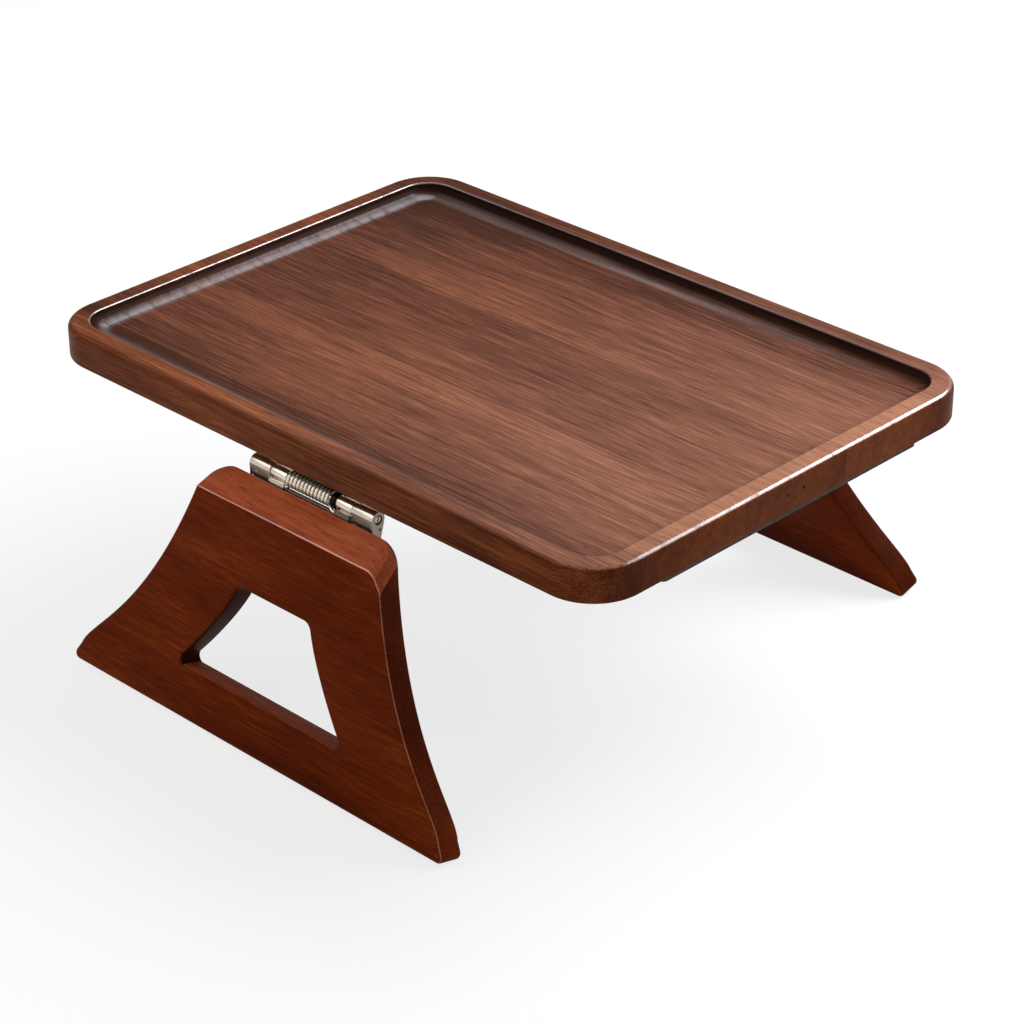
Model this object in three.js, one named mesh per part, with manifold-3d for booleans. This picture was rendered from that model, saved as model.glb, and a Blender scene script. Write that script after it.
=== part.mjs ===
import * as THREE from 'three';
import { mergeVertices } from 'three/addons/utils/BufferGeometryUtils.js';
import Module from 'manifold-3d';

const wasm = await Module();
wasm.setup();

// Sofa arm tray table, in millimetres. The tray's long side runs along X and +Z is up.
// The origin is on the ground, under the middle of the tray.

// Tray board
const trayLength = 350;
const trayWidth = 250;
const trayThickness = 17;
const trayCornerRadius = 25.5;
const rimWidth = 10.5;
const recessDepth = 6;
const coveWidth = 10;
const coveHeight = 5.2;
const lipRadius = 0.6;
const topEdgeRadius = 3;
const bottomEdgeRadius = 1.5;

// Grip strips under both ends of the tray
const stripLength = 168;
const stripWidth = 30;
const stripThickness = 1.2;
const stripCornerRadius = 3;
const stripEndInset = 0.8;

// Leg boards
const legThickness = 13;
const legHeight = 119.6;
const footHalf = 124.5;
const shoulderHalf = 56;
const footRadius = 3;
const shoulderRadius = 12.5;
const legEdgeRadius = 1.5;
const topBevelDrop = 11.2;
const topBevelLand = 1.6;
const splayAngle = THREE.MathUtils.degToRad(15);

// Cut-out in each leg board
const cutoutBottom = 24.3;
const cutoutTop = 72.6;
const cutoutBottomHalf = 55.5;
const cutoutTopHalf = 22.7;
const cutoutBottomRadius = 3;
const cutoutTopRadius = 5;

// Each flank is one curve: how far out it is between shoulder and foot, and how far up the board
const flankShares = [[0.924, 0.071], [0.869, 0.173], [0.372, 0.312], [0.056, 0.886]];
const cutoutFlankShares = [[0.841, 0.124], [0.707, 0.228], [0.241, 0.621], [0.055, 0.925]];

// Spring hinge: barrel
const barrelLength = 79;
const blockLength = 13.2;
const knuckleLength = 10;
const collarLength = 2.9;
const blockRadius = 3.9;
const knuckleRadius = 3.5;
const pinRadius = 1.7;
const collarRadius = 3.5;
const counterboreRadius = 2.4;
const counterboreDepth = 0.8;
const pinSlotWidth = 0.8;
const pinSlotDepth = 0.6;

// Spring hinge: spring
const wireDiameter = 1.4;
const springOuterRadius = 4.3;
const springCurls = 11;

// Spring hinge: leaves
const leafThickness = 2;
const leafCornerRadius = 3;
const trayLeafLength = 72;
const trayLeafDepth = 30;
const trayLeafBend = 3;
const legLeafHeight = 34;
const legLeafTop = 4.9;
const blockFrontEnd = 7.2;
const blockBottom = 13;
const blockBackEnd = 10;
const panelMargin = 0.9;
const panelTop = 1.3;
const panelDepth = 0.35;
const panelRadius = 1.4;
const dimpleRadius = 0.6;
const dimpleDepth = 0.8;
const dimpleInset = 4.2;
const lockHoleDepth = 2.5;
const lockHoleDrop = 4.6;
const lockHoleBack = 2;
const padLength = 9.6;
const padBottom = 5.1;
const padTop = 2.7;
const padFront = 3.9;
const tabTop = 4.1;

// Where the hinge sits under the tray and on the leg
const axisInset = 8.5;
const axisDrop = 10.5;
const crestBelowAxis = 5.4;

// Countersunk screws
const screwLength = 10;
const screwHeadRadius = 3.1;
const screwShankRadius = 1.5;
const screwHeadRim = 0.3;
const screwHeadCone = 1.5;
const screwTipLength = 2.4;
const recessSlotWidth = 0.7;
const recessSlotLength = 3.2;
const recessSlotDepth = 0.9;
const trayScrewOuterX = 27;
const trayScrewInnerX = 10;
const trayScrewNearY = 13;
const trayScrewFarY = 23;
const legScrewOuterX = 31;
const legScrewInnerX = 11;
const legScrewUpper = 18;
const legScrewLower = 27;

// Clearances and one overrun for all cuts
const gap = 0.3;
const overrun = 4;

// Steps of the round forms
const cornerSteps = 8;
const edgeSteps = 3;
const coveSteps = 5;
const flankSteps = 12;
const roundSides = 20;
const boreSides = 16;
const screwSides = 12;
const curlSteps = 8;
const wireSides = 5;
const bendSteps = 3;

const walnut = new THREE.MeshStandardMaterial({ color: 0x5c2f1c, roughness: 0.38, metalness: 0 });
const redWalnut = new THREE.MeshStandardMaterial({ color: 0x5e2412, roughness: 0.36, metalness: 0 });
const rubber = new THREE.MeshStandardMaterial({ color: 0x1d1b1a, roughness: 0.9, metalness: 0 });
const nickel = new THREE.MeshStandardMaterial({ color: 0xb9ada0, roughness: 0.28, metalness: 1 });
const brightSteel = new THREE.MeshStandardMaterial({ color: 0xd2ccc4, roughness: 0.2, metalness: 1 });
const darkSteel = new THREE.MeshStandardMaterial({ color: 0x2b2623, roughness: 0.5, metalness: 1 });

// A closed mesh with shared vertices, ready to be cut or joined
function toSolid(geometry) {
  const bare = geometry.clone();
  bare.deleteAttribute('normal');
  bare.deleteAttribute('uv');
  const merged = mergeVertices(bare, 1e-5);
  const mesh = new wasm.Mesh({
    numProp: 3,
    vertProperties: new Float32Array(merged.attributes.position.array),
    triVerts: new Uint32Array(merged.index.array),
  });
  return new wasm.Manifold(mesh);
}

function toGeometry(solid) {
  const mesh = solid.getMesh();
  const geometry = new THREE.BufferGeometry();
  geometry.setAttribute('position', new THREE.BufferAttribute(new Float32Array(mesh.vertProperties), 3));
  geometry.setIndex(new THREE.BufferAttribute(new Uint32Array(mesh.triVerts), 1));
  geometry.computeVertexNormals();
  return geometry;
}

function cutAndJoin(base, joins, cuts) {
  let solid = toSolid(base);
  for (const join of joins) {
    solid = solid.add(toSolid(join));
  }
  for (const cut of cuts) {
    solid = solid.subtract(toSolid(cut));
  }
  return toGeometry(solid);
}

// Extrusion of a section whose own axes lie along `across` and `up`, starting at `origin`
function extrudeAlong(shape, depth, across, up, origin) {
  const geometry = new THREE.ExtrudeGeometry(shape, { depth, bevelEnabled: false });
  const along = new THREE.Vector3().crossVectors(across, up);
  const placed = new THREE.Matrix4().makeBasis(across, up, along).setPosition(origin);
  return geometry.applyMatrix4(placed);
}

const xAxis = new THREE.Vector3(1, 0, 0);
const yAxis = new THREE.Vector3(0, 1, 0);
const zAxis = new THREE.Vector3(0, 0, 1);

// Section in the YZ plane, drawn out along X
function barAlongX(shape, fromX, toX) {
  return extrudeAlong(shape, toX - fromX, yAxis, zAxis, new THREE.Vector3(fromX, 0, 0));
}

function rodAlongX(radius, fromX, toX, sides) {
  const rod = new THREE.CylinderGeometry(radius, radius, toX - fromX, sides);
  rod.rotateZ(Math.PI / 2);
  return rod.translate((fromX + toX) / 2, 0, 0);
}

// Rounds each corner that has a radius with an arc, and keeps the other points as they are
function roundedPoints(corners, steps) {
  const points = [];
  corners.forEach((corner, i) => {
    const here = new THREE.Vector2(corner.x, corner.y);
    if (!corner.radius) {
      points.push(here);
      return;
    }
    const before = corners[(i + corners.length - 1) % corners.length];
    const after = corners[(i + 1) % corners.length];
    const toBefore = new THREE.Vector2(before.x, before.y).sub(here).normalize();
    const toAfter = new THREE.Vector2(after.x, after.y).sub(here).normalize();
    const half = Math.acos(THREE.MathUtils.clamp(toBefore.dot(toAfter), -1, 1)) / 2;
    const centre = toBefore.clone().add(toAfter).normalize();
    centre.multiplyScalar(corner.radius / Math.sin(half)).add(here);
    const first = toBefore.multiplyScalar(corner.radius / Math.tan(half)).add(here).sub(centre);
    const last = toAfter.multiplyScalar(corner.radius / Math.tan(half)).add(here).sub(centre);
    const turn = Math.atan2(first.cross(last), first.dot(last));
    for (let k = 0; k <= steps; k += 1) {
      points.push(first.clone().rotateAround(new THREE.Vector2(), (turn * k) / steps).add(centre));
    }
  });
  return points;
}

function roundedRectangle(lowX, lowY, highX, highY, radius) {
  const corners = [[lowX, lowY], [highX, lowY], [highX, highY], [lowX, highY]];
  return new THREE.Shape(roundedPoints(corners.map(([x, y]) => ({ x, y, radius })), edgeSteps + 1));
}

// Joins rings of equal point count into one skin and closes both ends with a fan
function skinRings(rings) {
  const positions = [];
  const index = [];
  const count = rings[0].length;
  for (const ring of rings) {
    for (const point of ring) {
      positions.push(point.x, point.y, point.z);
    }
  }
  for (let r = 0; r + 1 < rings.length; r += 1) {
    for (let i = 0; i < count; i += 1) {
      const a = r * count + i;
      const b = r * count + ((i + 1) % count);
      index.push(a, b, b + count, a, b + count, a + count);
    }
  }
  [rings[0], rings[rings.length - 1]].forEach((ring, end) => {
    const centre = positions.length / 3;
    const middle = ring.reduce((sum, point) => sum.add(point), new THREE.Vector3()).divideScalar(count);
    positions.push(middle.x, middle.y, middle.z);
    const start = end === 0 ? 0 : (rings.length - 1) * count;
    for (let i = 0; i < count; i += 1) {
      const a = start + i;
      const b = start + ((i + 1) % count);
      index.push(...(end === 0 ? [centre, b, a] : [centre, a, b]));
    }
  });
  const geometry = new THREE.BufferGeometry();
  geometry.setAttribute('position', new THREE.Float32BufferAttribute(positions, 3));
  geometry.setIndex(index);
  geometry.computeVertexNormals();
  return geometry;
}

// Quarter turns of a profile, as [inset from the outline, height] pairs
function quarterTurn(steps, place) {
  return Array.from({ length: steps + 1 }, (_, k) => place((Math.PI / 2) * (k / steps)));
}

function trayRing(inset, height) {
  const halfLength = trayLength / 2 - inset;
  const halfWidth = trayWidth / 2 - inset;
  const radius = trayCornerRadius - inset;
  const corners = [[-1, -1], [1, -1], [1, 1], [-1, 1]];
  const outline = roundedPoints(
    corners.map(([x, y]) => ({ x: x * halfLength, y: y * halfWidth, radius })),
    cornerSteps,
  );
  return outline.map((point) => new THREE.Vector3(point.x, point.y, height));
}

// Tray: rounded underside edge, side, rounded top edge, flat rim, lip, cove and sunk floor
function trayBoard(screwSpots) {
  const floor = trayThickness - recessDepth;
  const profile = [
    ...quarterTurn(edgeSteps, (a) => [
      bottomEdgeRadius * (1 - Math.sin(a)),
      bottomEdgeRadius * (1 - Math.cos(a)),
    ]),
    ...quarterTurn(edgeSteps, (a) => [
      topEdgeRadius * (1 - Math.cos(a)),
      trayThickness - topEdgeRadius * (1 - Math.sin(a)),
    ]),
    ...quarterTurn(1, (a) => [
      rimWidth - lipRadius * (1 - Math.sin(a)),
      trayThickness - lipRadius * (1 - Math.cos(a)),
    ]),
    ...quarterTurn(coveSteps, (a) => [
      rimWidth + coveWidth * (1 - Math.cos(a)),
      floor + coveHeight * (1 - Math.sin(a)),
    ]),
  ];
  const board = skinRings(profile.map(([inset, height]) => trayRing(inset, height)));
  const pilots = screwSpots.map((spot) => {
    const depth = screwLength - leafThickness;
    const pilot = new THREE.CylinderGeometry(
      screwShankRadius + gap, screwShankRadius + gap, depth + overrun, boreSides);
    pilot.rotateX(Math.PI / 2);
    return pilot.translate(spot.x, spot.y, (depth - overrun) / 2);
  });
  return cutAndJoin(board, [], pilots);
}

function gripStrip() {
  const shape = roundedRectangle(-stripWidth / 2, -stripLength / 2, stripWidth / 2, stripLength / 2,
    stripCornerRadius);
  return extrudeAlong(shape, stripThickness, xAxis, yAxis, new THREE.Vector3(0, 0, -stripThickness));
}

// One flank as points on a Bezier curve, from shares of the spans that it crosses
function flankPoints(shares, innerHalf, outerHalf, low, high) {
  const knots = shares.map(([out, up]) => new THREE.Vector2(
    innerHalf + (outerHalf - innerHalf) * out,
    low + (high - low) * up,
  ));
  return new THREE.CubicBezierCurve(...knots).getPoints(flankSteps);
}

// Bell-shaped outline, symmetric about its middle: feet below, a narrow shoulder above
function bellOutline(low, high, footX, shoulderX, footRound, shoulderRound, shares) {
  const flank = flankPoints(shares, shoulderX, footX, low, high);
  const right = [
    { x: footX, y: low, radius: footRound },
    ...flank.map((point) => ({ x: point.x, y: point.y })),
    { x: shoulderX, y: high, radius: shoulderRound },
  ];
  const left = right.map((corner) => ({ ...corner, x: -corner.x })).reverse();
  return roundedPoints([...right, ...left], cornerSteps - 2);
}

// In the leg's own frame the hinge axis is the origin, the leg hangs towards -Z and -Y is outwards
const legInner = -leafThickness - gap;
const legOuter = legInner - legThickness;
const legTop = -crestBelowAxis;
const legFoot = legTop - legHeight;

function legBoard(screwSpots) {
  const outline = new THREE.Shape(bellOutline(
    legFoot, legTop, footHalf, shoulderHalf, footRadius, shoulderRadius, flankShares));
  outline.holes.push(new THREE.Path(bellOutline(
    legFoot + cutoutBottom, legFoot + cutoutTop, cutoutBottomHalf, cutoutTopHalf,
    cutoutBottomRadius, cutoutTopRadius, cutoutFlankShares)));
  const board = new THREE.ExtrudeGeometry(outline, {
    depth: legThickness - 2 * legEdgeRadius,
    bevelThickness: legEdgeRadius,
    bevelSize: legEdgeRadius,
    bevelOffset: -legEdgeRadius,
    bevelSegments: 2,
  });
  const upright = new THREE.Matrix4().makeBasis(xAxis, zAxis, yAxis.clone().negate());
  board.applyMatrix4(upright.setPosition(0, legInner - legEdgeRadius, 0));
  const bevelRun = legThickness - topBevelLand;
  const slope = topBevelDrop / bevelRun;
  const wedge = new THREE.Shape([
    new THREE.Vector2(legOuter + bevelRun, legTop),
    new THREE.Vector2(legOuter + bevelRun, legTop + overrun),
    new THREE.Vector2(legOuter - overrun, legTop + overrun),
    new THREE.Vector2(legOuter - overrun, legTop - topBevelDrop - slope * overrun),
  ]);
  const cuts = [barAlongX(wedge, -footHalf, footHalf)];
  for (const spot of screwSpots) {
    const depth = screwLength - leafThickness;
    const pilot = new THREE.CylinderGeometry(
      screwShankRadius + gap, screwShankRadius + gap, depth + overrun, boreSides);
    cuts.push(pilot.translate(spot.x, legInner + (overrun - depth) / 2, spot.z));
  }
  return cutAndJoin(board, [], cuts);
}

// Barrel stations along X, from the pin's plain end to its slotted end
const barrelHalf = barrelLength / 2;
const leftKnuckleFrom = -barrelHalf + blockLength + gap;
const leftKnuckleTo = leftKnuckleFrom + knuckleLength;
const rightKnuckleTo = barrelHalf - blockLength - gap;
const rightKnuckleFrom = rightKnuckleTo - knuckleLength;
const collarTo = rightKnuckleFrom - gap;
const collarFrom = collarTo - collarLength;
const springFrom = leftKnuckleTo + gap;
const springTo = collarFrom - gap;

// A screw's seat in a leaf, opening towards +Z at the origin
function screwSeat() {
  const profile = [
    new THREE.Vector2(0, -leafThickness - overrun),
    new THREE.Vector2(screwShankRadius + gap, -leafThickness - overrun),
    new THREE.Vector2(screwShankRadius + gap, -screwHeadCone - screwHeadRim - gap),
    new THREE.Vector2(screwHeadRadius + gap, -screwHeadRim - gap),
    new THREE.Vector2(screwHeadRadius + gap, overrun),
    new THREE.Vector2(0, overrun),
  ];
  return new THREE.LatheGeometry(profile, boreSides).rotateX(Math.PI / 2);
}

// Countersunk screw, its head flush with the origin and its tip towards -Z
function screw() {
  const profile = [
    new THREE.Vector2(0, -screwLength),
    new THREE.Vector2(screwShankRadius, -screwLength + screwTipLength),
    new THREE.Vector2(screwShankRadius, -screwHeadCone - screwHeadRim),
    new THREE.Vector2(screwHeadRadius, -screwHeadRim),
    new THREE.Vector2(screwHeadRadius, 0),
    new THREE.Vector2(0, 0),
  ];
  const body = new THREE.LatheGeometry(profile, screwSides).rotateX(Math.PI / 2);
  const slots = [0, Math.PI / 2].map((turn) => new THREE.BoxGeometry(
    recessSlotLength, recessSlotWidth, 2 * recessSlotDepth).rotateZ(turn));
  return cutAndJoin(body, [], slots);
}

// Bent strap that leaves the knuckle's back, rises and turns flat under the tray
function trayLeafNeck() {
  const top = axisDrop - gap;
  const back = knuckleRadius;
  const bendCentreY = back - leafThickness / 2 + trayLeafBend;
  const bendCentreZ = top - leafThickness / 2 - trayLeafBend;
  const outerBend = trayLeafBend + leafThickness / 2;
  const innerBend = trayLeafBend - leafThickness / 2;
  const neck = new THREE.Shape();
  neck.moveTo(back - leafThickness, 0);
  neck.lineTo(back, 0);
  neck.lineTo(back, bendCentreZ);
  neck.absarc(bendCentreY, bendCentreZ, innerBend, Math.PI, Math.PI / 2, true);
  neck.lineTo(bendCentreY + leafThickness, top - leafThickness);
  neck.lineTo(bendCentreY + leafThickness, top);
  neck.lineTo(bendCentreY, top);
  neck.absarc(bendCentreY, bendCentreZ, outerBend, Math.PI / 2, Math.PI, false);
  neck.closePath();
  return new THREE.Shape(neck.getPoints(edgeSteps));
}

function trayLeaf(screwSpots) {
  const top = axisDrop - gap;
  const nearY = knuckleRadius - leafThickness / 2 + trayLeafBend;
  const half = trayLeafLength / 2;
  const plate = extrudeAlong(
    roundedRectangle(-half, nearY, half, trayLeafDepth, leafCornerRadius),
    leafThickness, xAxis, yAxis, new THREE.Vector3(0, 0, top - leafThickness));
  const neck = trayLeafNeck();
  const joins = [];
  const cuts = [];
  for (const [from, to] of [[leftKnuckleFrom, leftKnuckleTo], [rightKnuckleFrom, rightKnuckleTo]]) {
    joins.push(barAlongX(neck, from, to));
    joins.push(rodAlongX(knuckleRadius, from, to, roundSides));
    cuts.push(rodAlongX(pinRadius + gap, from - overrun, to + overrun, boreSides));
  }
  for (const spot of screwSpots) {
    cuts.push(screwSeat().rotateX(Math.PI).translate(spot.x, spot.y, top - leafThickness));
  }
  return cutAndJoin(plate, joins, cuts);
}

// End block: round over the pin, a sloping front, a straight back and a foot that joins the leaf
const blockFrontAngle = THREE.MathUtils.degToRad(190);
const blockFrontTop = new THREE.Vector2(
  blockRadius * Math.cos(blockFrontAngle),
  blockRadius * Math.sin(blockFrontAngle),
);
const blockFrontFoot = new THREE.Vector2(-leafThickness, -blockFrontEnd);

function blockSection() {
  const section = new THREE.Shape();
  section.moveTo(-leafThickness, -blockBottom);
  section.lineTo(0, -blockBottom);
  section.lineTo(blockRadius, -blockBackEnd);
  section.lineTo(blockRadius, 0);
  section.absarc(0, 0, blockRadius, 0, blockFrontAngle, false);
  section.lineTo(blockFrontFoot.x, blockFrontFoot.y);
  section.closePath();
  return new THREE.Shape(section.getPoints(cornerSteps));
}

// Sunk panel on a block's sloping front; `outer` is the block's end that faces away from the spring
function blockPanel(fromX, toX) {
  const slope = blockFrontTop.clone().sub(blockFrontFoot);
  const up = new THREE.Vector3(0, slope.x, slope.y).normalize();
  const low = panelMargin;
  const high = slope.length() - panelTop;
  const shape = roundedRectangle(fromX, low, toX, high, panelRadius);
  const out = new THREE.Vector3().crossVectors(xAxis, up);
  const origin = new THREE.Vector3(0, blockFrontFoot.x, blockFrontFoot.y).addScaledVector(out, -panelDepth);
  return extrudeAlong(shape, overrun, xAxis, up, origin);
}

function legLeaf(screwSpots) {
  const plate = extrudeAlong(
    roundedRectangle(-barrelHalf, -legLeafHeight, barrelHalf, -legLeafTop, leafCornerRadius),
    leafThickness, xAxis, zAxis, new THREE.Vector3(0, 0, 0));
  const block = blockSection();
  const joins = [];
  const cuts = [];
  for (const side of [-1, 1]) {
    const from = side < 0 ? -barrelHalf : barrelHalf - blockLength;
    const to = from + blockLength;
    joins.push(barAlongX(block, from, to));
    cuts.push(blockPanel(from + panelMargin, to - panelMargin));
    const face = side * barrelHalf;
    cuts.push(rodAlongX(counterboreRadius, Math.min(face, face - side * counterboreDepth),
      Math.max(face, face - side * counterboreDepth), roundSides));
    const padMiddle = side * (barrelHalf - blockLength - gap - knuckleLength / 2);
    const padFrom = padMiddle - padLength / 2;
    const padTo = padMiddle + padLength / 2;
    const pad = roundedRectangle(padFrom, -padBottom, padTo, -padTop, (padBottom - padTop - lipRadius) / 2);
    joins.push(extrudeAlong(pad, padFront - leafThickness / 2, xAxis, zAxis,
      new THREE.Vector3(0, -leafThickness / 2, 0)));
    const tab = roundedRectangle(padFrom, -padBottom - leafCornerRadius, padTo, -tabTop, lipRadius);
    joins.push(extrudeAlong(tab, leafThickness, xAxis, zAxis, new THREE.Vector3(0, 0, 0)));
    cuts.push(rodAlongX(knuckleRadius + gap, padFrom - gap, padTo + gap, roundSides));
  }
  cuts.push(rodAlongX(pinRadius + gap, -barrelHalf - overrun, barrelHalf + overrun, boreSides));
  const lockHole = rodAlongX(dimpleRadius, barrelHalf - lockHoleDepth, barrelHalf + overrun, boreSides / 2);
  cuts.push(lockHole.translate(0, lockHoleBack, -lockHoleDrop));
  const dimple = new THREE.CylinderGeometry(dimpleRadius, dimpleRadius, 2 * dimpleDepth, boreSides / 2);
  const dimpleAt = blockFrontTop.clone().lerp(blockFrontFoot, (2 * panelTop) / blockFrontEnd);
  cuts.push(dimple.translate(-barrelHalf + dimpleInset, dimpleAt.x, dimpleAt.y));
  for (const spot of screwSpots) {
    cuts.push(screwSeat().rotateX(-Math.PI / 2).translate(spot.x, 0, spot.z));
  }
  return cutAndJoin(plate, joins, cuts);
}

function hingePin() {
  const pin = rodAlongX(pinRadius, -barrelHalf + gap, barrelHalf - gap, boreSides);
  const slot = new THREE.BoxGeometry(2 * pinSlotDepth, pinSlotWidth, 2 * blockRadius);
  return cutAndJoin(pin, [], [slot.translate(barrelHalf - gap, 0, 0)]);
}

function springCollar() {
  const ring = rodAlongX(collarRadius, collarFrom, collarTo, roundSides);
  return cutAndJoin(ring, [], [rodAlongX(pinRadius + gap, collarFrom - overrun, collarTo + overrun, boreSides)]);
}

// Centreline of the spring: curls round X at a steady pitch, with both ends bent to run along X.
// The heading is the angle between the wire and the ring round the pin.
function springPath() {
  const radius = springOuterRadius - wireDiameter / 2;
  const bendRadius = wireDiameter;
  const span = springTo - springFrom - 2 * wireDiameter;
  const curlLength = 2 * Math.PI * radius;
  const bendRise = bendRadius;
  const pitch = (span - 2 * bendRise) / springCurls;
  const coilHeading = Math.atan2(pitch, curlLength);
  const steps = springCurls * curlSteps;
  const moves = [];
  const bend = (from, to) => {
    const length = Math.abs(to - from) * bendRadius;
    for (let k = 0; k < bendSteps; k += 1) {
      moves.push([from + ((to - from) * (k + 0.5)) / bendSteps, length / bendSteps]);
    }
  };
  moves.push([Math.PI / 2, wireDiameter]);
  bend(Math.PI / 2, coilHeading);
  for (let k = 0; k < steps; k += 1) {
    moves.push([coilHeading, Math.hypot(pitch, curlLength) / curlSteps]);
  }
  bend(coilHeading, Math.PI / 2);
  moves.push([Math.PI / 2, wireDiameter]);
  const travel = moves.reduce((sum, [heading, length]) => sum + Math.sin(heading) * length, 0);
  const stretch = (springTo - springFrom) / travel;
  let x = springFrom;
  let angle = 0;
  const path = [{ x, angle, heading: Math.PI / 2 }];
  moves.forEach(([heading, length], i) => {
    x += Math.sin(heading) * length * stretch;
    angle += (Math.cos(heading) * length) / radius;
    const next = moves[Math.min(i + 1, moves.length - 1)][0];
    path.push({ x, angle, heading: (heading + next) / 2 });
  });
  return path.map(({ x: along, angle: turn, heading }) => {
    const outward = new THREE.Vector3(0, Math.cos(turn), Math.sin(turn));
    const round = new THREE.Vector3(0, -Math.sin(turn), Math.cos(turn));
    const forward = xAxis.clone().multiplyScalar(Math.sin(heading)).addScaledVector(round, Math.cos(heading));
    const point = outward.clone().multiplyScalar(radius).add(new THREE.Vector3(along, 0, 0));
    return { point, outward, side: new THREE.Vector3().crossVectors(forward, outward), turn };
  });
}

function hingeSpring() {
  const path = springPath();
  const rings = path.map(({ point, outward, side }) => Array.from({ length: wireSides }, (_, k) => {
    const a = (2 * Math.PI * k) / wireSides;
    return point.clone()
      .addScaledVector(outward, (Math.cos(a) * wireDiameter) / 2)
      .addScaledVector(side, (Math.sin(a) * wireDiameter) / 2);
  }));
  let least = Infinity;
  for (let i = 0; i < path.length; i += 1) {
    for (let j = i + 1; j < path.length; j += 1) {
      if (path[j].turn - path[i].turn > Math.PI) {
        least = Math.min(least, path[i].point.distanceTo(path[j].point) - wireDiameter);
      }
    }
  }
  console.log(`least gap between the spring's curls: ${least.toFixed(2)} mm`);
  return skinRings(rings);
}

const trayScrewSpots = [
  { x: -trayScrewOuterX, y: trayScrewFarY },
  { x: -trayScrewInnerX, y: trayScrewNearY },
  { x: trayScrewInnerX, y: trayScrewNearY },
  { x: trayScrewOuterX, y: trayScrewFarY },
];
const legScrewSpots = [
  { x: -legScrewOuterX, z: -legScrewUpper },
  { x: -legScrewInnerX, z: -legScrewLower },
  { x: legScrewInnerX, z: -legScrewLower },
  { x: legScrewOuterX, z: -legScrewUpper },
];

const axisY = trayWidth / 2 - axisInset;
const legShape = legBoard(legScrewSpots);
const standing = legShape.clone().rotateX(-splayAngle);
standing.computeBoundingBox();
const axisHeight = -standing.boundingBox.min.z;
const underside = axisHeight + axisDrop;

const shapes = {
  trayLeaf: trayLeaf(trayScrewSpots),
  legLeaf: legLeaf(legScrewSpots),
  pin: hingePin(),
  spring: hingeSpring(),
  collar: springCollar(),
  screw: screw(),
};

function named(name, geometry, material) {
  const mesh = new THREE.Mesh(geometry, material);
  mesh.name = name;
  return mesh;
}

// One leg with its hinge, on the -Y side of the tray; the other side is the same, turned half round
function hingedLeg(side) {
  const fixed = new THREE.Group();
  fixed.position.set(0, -axisY, axisHeight);
  fixed.add(named(`${side}_hinge_tray_leaf`, shapes.trayLeaf, nickel));
  trayScrewSpots.forEach((spot, i) => {
    const mesh = named(`${side}_tray_screw_${i + 1}`, shapes.screw, brightSteel);
    mesh.position.set(spot.x, spot.y, axisDrop - gap - leafThickness);
    mesh.rotation.x = Math.PI;
    fixed.add(mesh);
  });
  const swinging = new THREE.Group();
  swinging.rotation.x = -splayAngle;
  swinging.add(named(`${side}_leg`, legShape, redWalnut));
  swinging.add(named(`${side}_hinge_leg_leaf`, shapes.legLeaf, nickel));
  swinging.add(named(`${side}_hinge_pin`, shapes.pin, brightSteel));
  swinging.add(named(`${side}_hinge_spring`, shapes.spring, brightSteel));
  swinging.add(named(`${side}_hinge_collar`, shapes.collar, darkSteel));
  legScrewSpots.forEach((spot, i) => {
    const mesh = named(`${side}_leg_screw_${i + 1}`, shapes.screw, brightSteel);
    mesh.position.set(spot.x, 0, spot.z);
    mesh.rotation.x = -Math.PI / 2;
    swinging.add(mesh);
  });
  fixed.add(swinging);
  const turned = new THREE.Group();
  turned.add(fixed);
  return turned;
}

const table = new THREE.Group();

const tray = new THREE.Group();
tray.position.z = underside;
const traySpots = trayScrewSpots.flatMap(({ x, y }) => [
  { x, y: y - axisY },
  { x: -x, y: axisY - y },
]);
tray.add(named('tray_board', trayBoard(traySpots), walnut));
for (const [name, side] of [['left_grip_strip', -1], ['right_grip_strip', 1]]) {
  const strip = named(name, gripStrip(), rubber);
  strip.position.x = side * (trayLength / 2 - stripEndInset - stripWidth / 2);
  tray.add(strip);
}
table.add(tray);

table.add(hingedLeg('front'));
const back = hingedLeg('back');
back.rotation.z = Math.PI;
table.add(back);

export default table;
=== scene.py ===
import bpy
import bmesh
import math
from mathutils import Matrix, Vector
from mathutils.geometry import tessellate_polygon


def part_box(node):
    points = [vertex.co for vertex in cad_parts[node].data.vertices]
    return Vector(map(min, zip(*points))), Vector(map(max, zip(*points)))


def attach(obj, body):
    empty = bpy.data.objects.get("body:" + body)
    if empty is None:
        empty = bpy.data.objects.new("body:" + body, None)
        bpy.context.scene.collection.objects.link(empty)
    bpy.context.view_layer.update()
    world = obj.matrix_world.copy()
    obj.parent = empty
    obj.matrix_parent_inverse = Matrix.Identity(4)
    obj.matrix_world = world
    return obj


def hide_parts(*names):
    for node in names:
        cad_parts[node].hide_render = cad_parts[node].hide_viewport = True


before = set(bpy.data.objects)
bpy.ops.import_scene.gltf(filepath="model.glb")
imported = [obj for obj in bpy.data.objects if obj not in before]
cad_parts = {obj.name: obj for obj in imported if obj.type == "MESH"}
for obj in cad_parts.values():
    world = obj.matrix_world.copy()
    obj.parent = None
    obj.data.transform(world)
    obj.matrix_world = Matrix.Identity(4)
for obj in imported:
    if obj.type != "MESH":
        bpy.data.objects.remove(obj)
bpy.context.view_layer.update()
print("frame loaded:", len(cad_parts), "solids")


# Shader maths: a material's sockets used in plain expressions


def feed(tree, socket, value):
    if isinstance(value, Link):
        tree.links.new(value.socket, socket)
    elif isinstance(value, (tuple, list)) and len(value) == 3 and socket.type == "RGBA":
        socket.default_value = (*value, 1.0)
    else:
        socket.default_value = value


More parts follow.
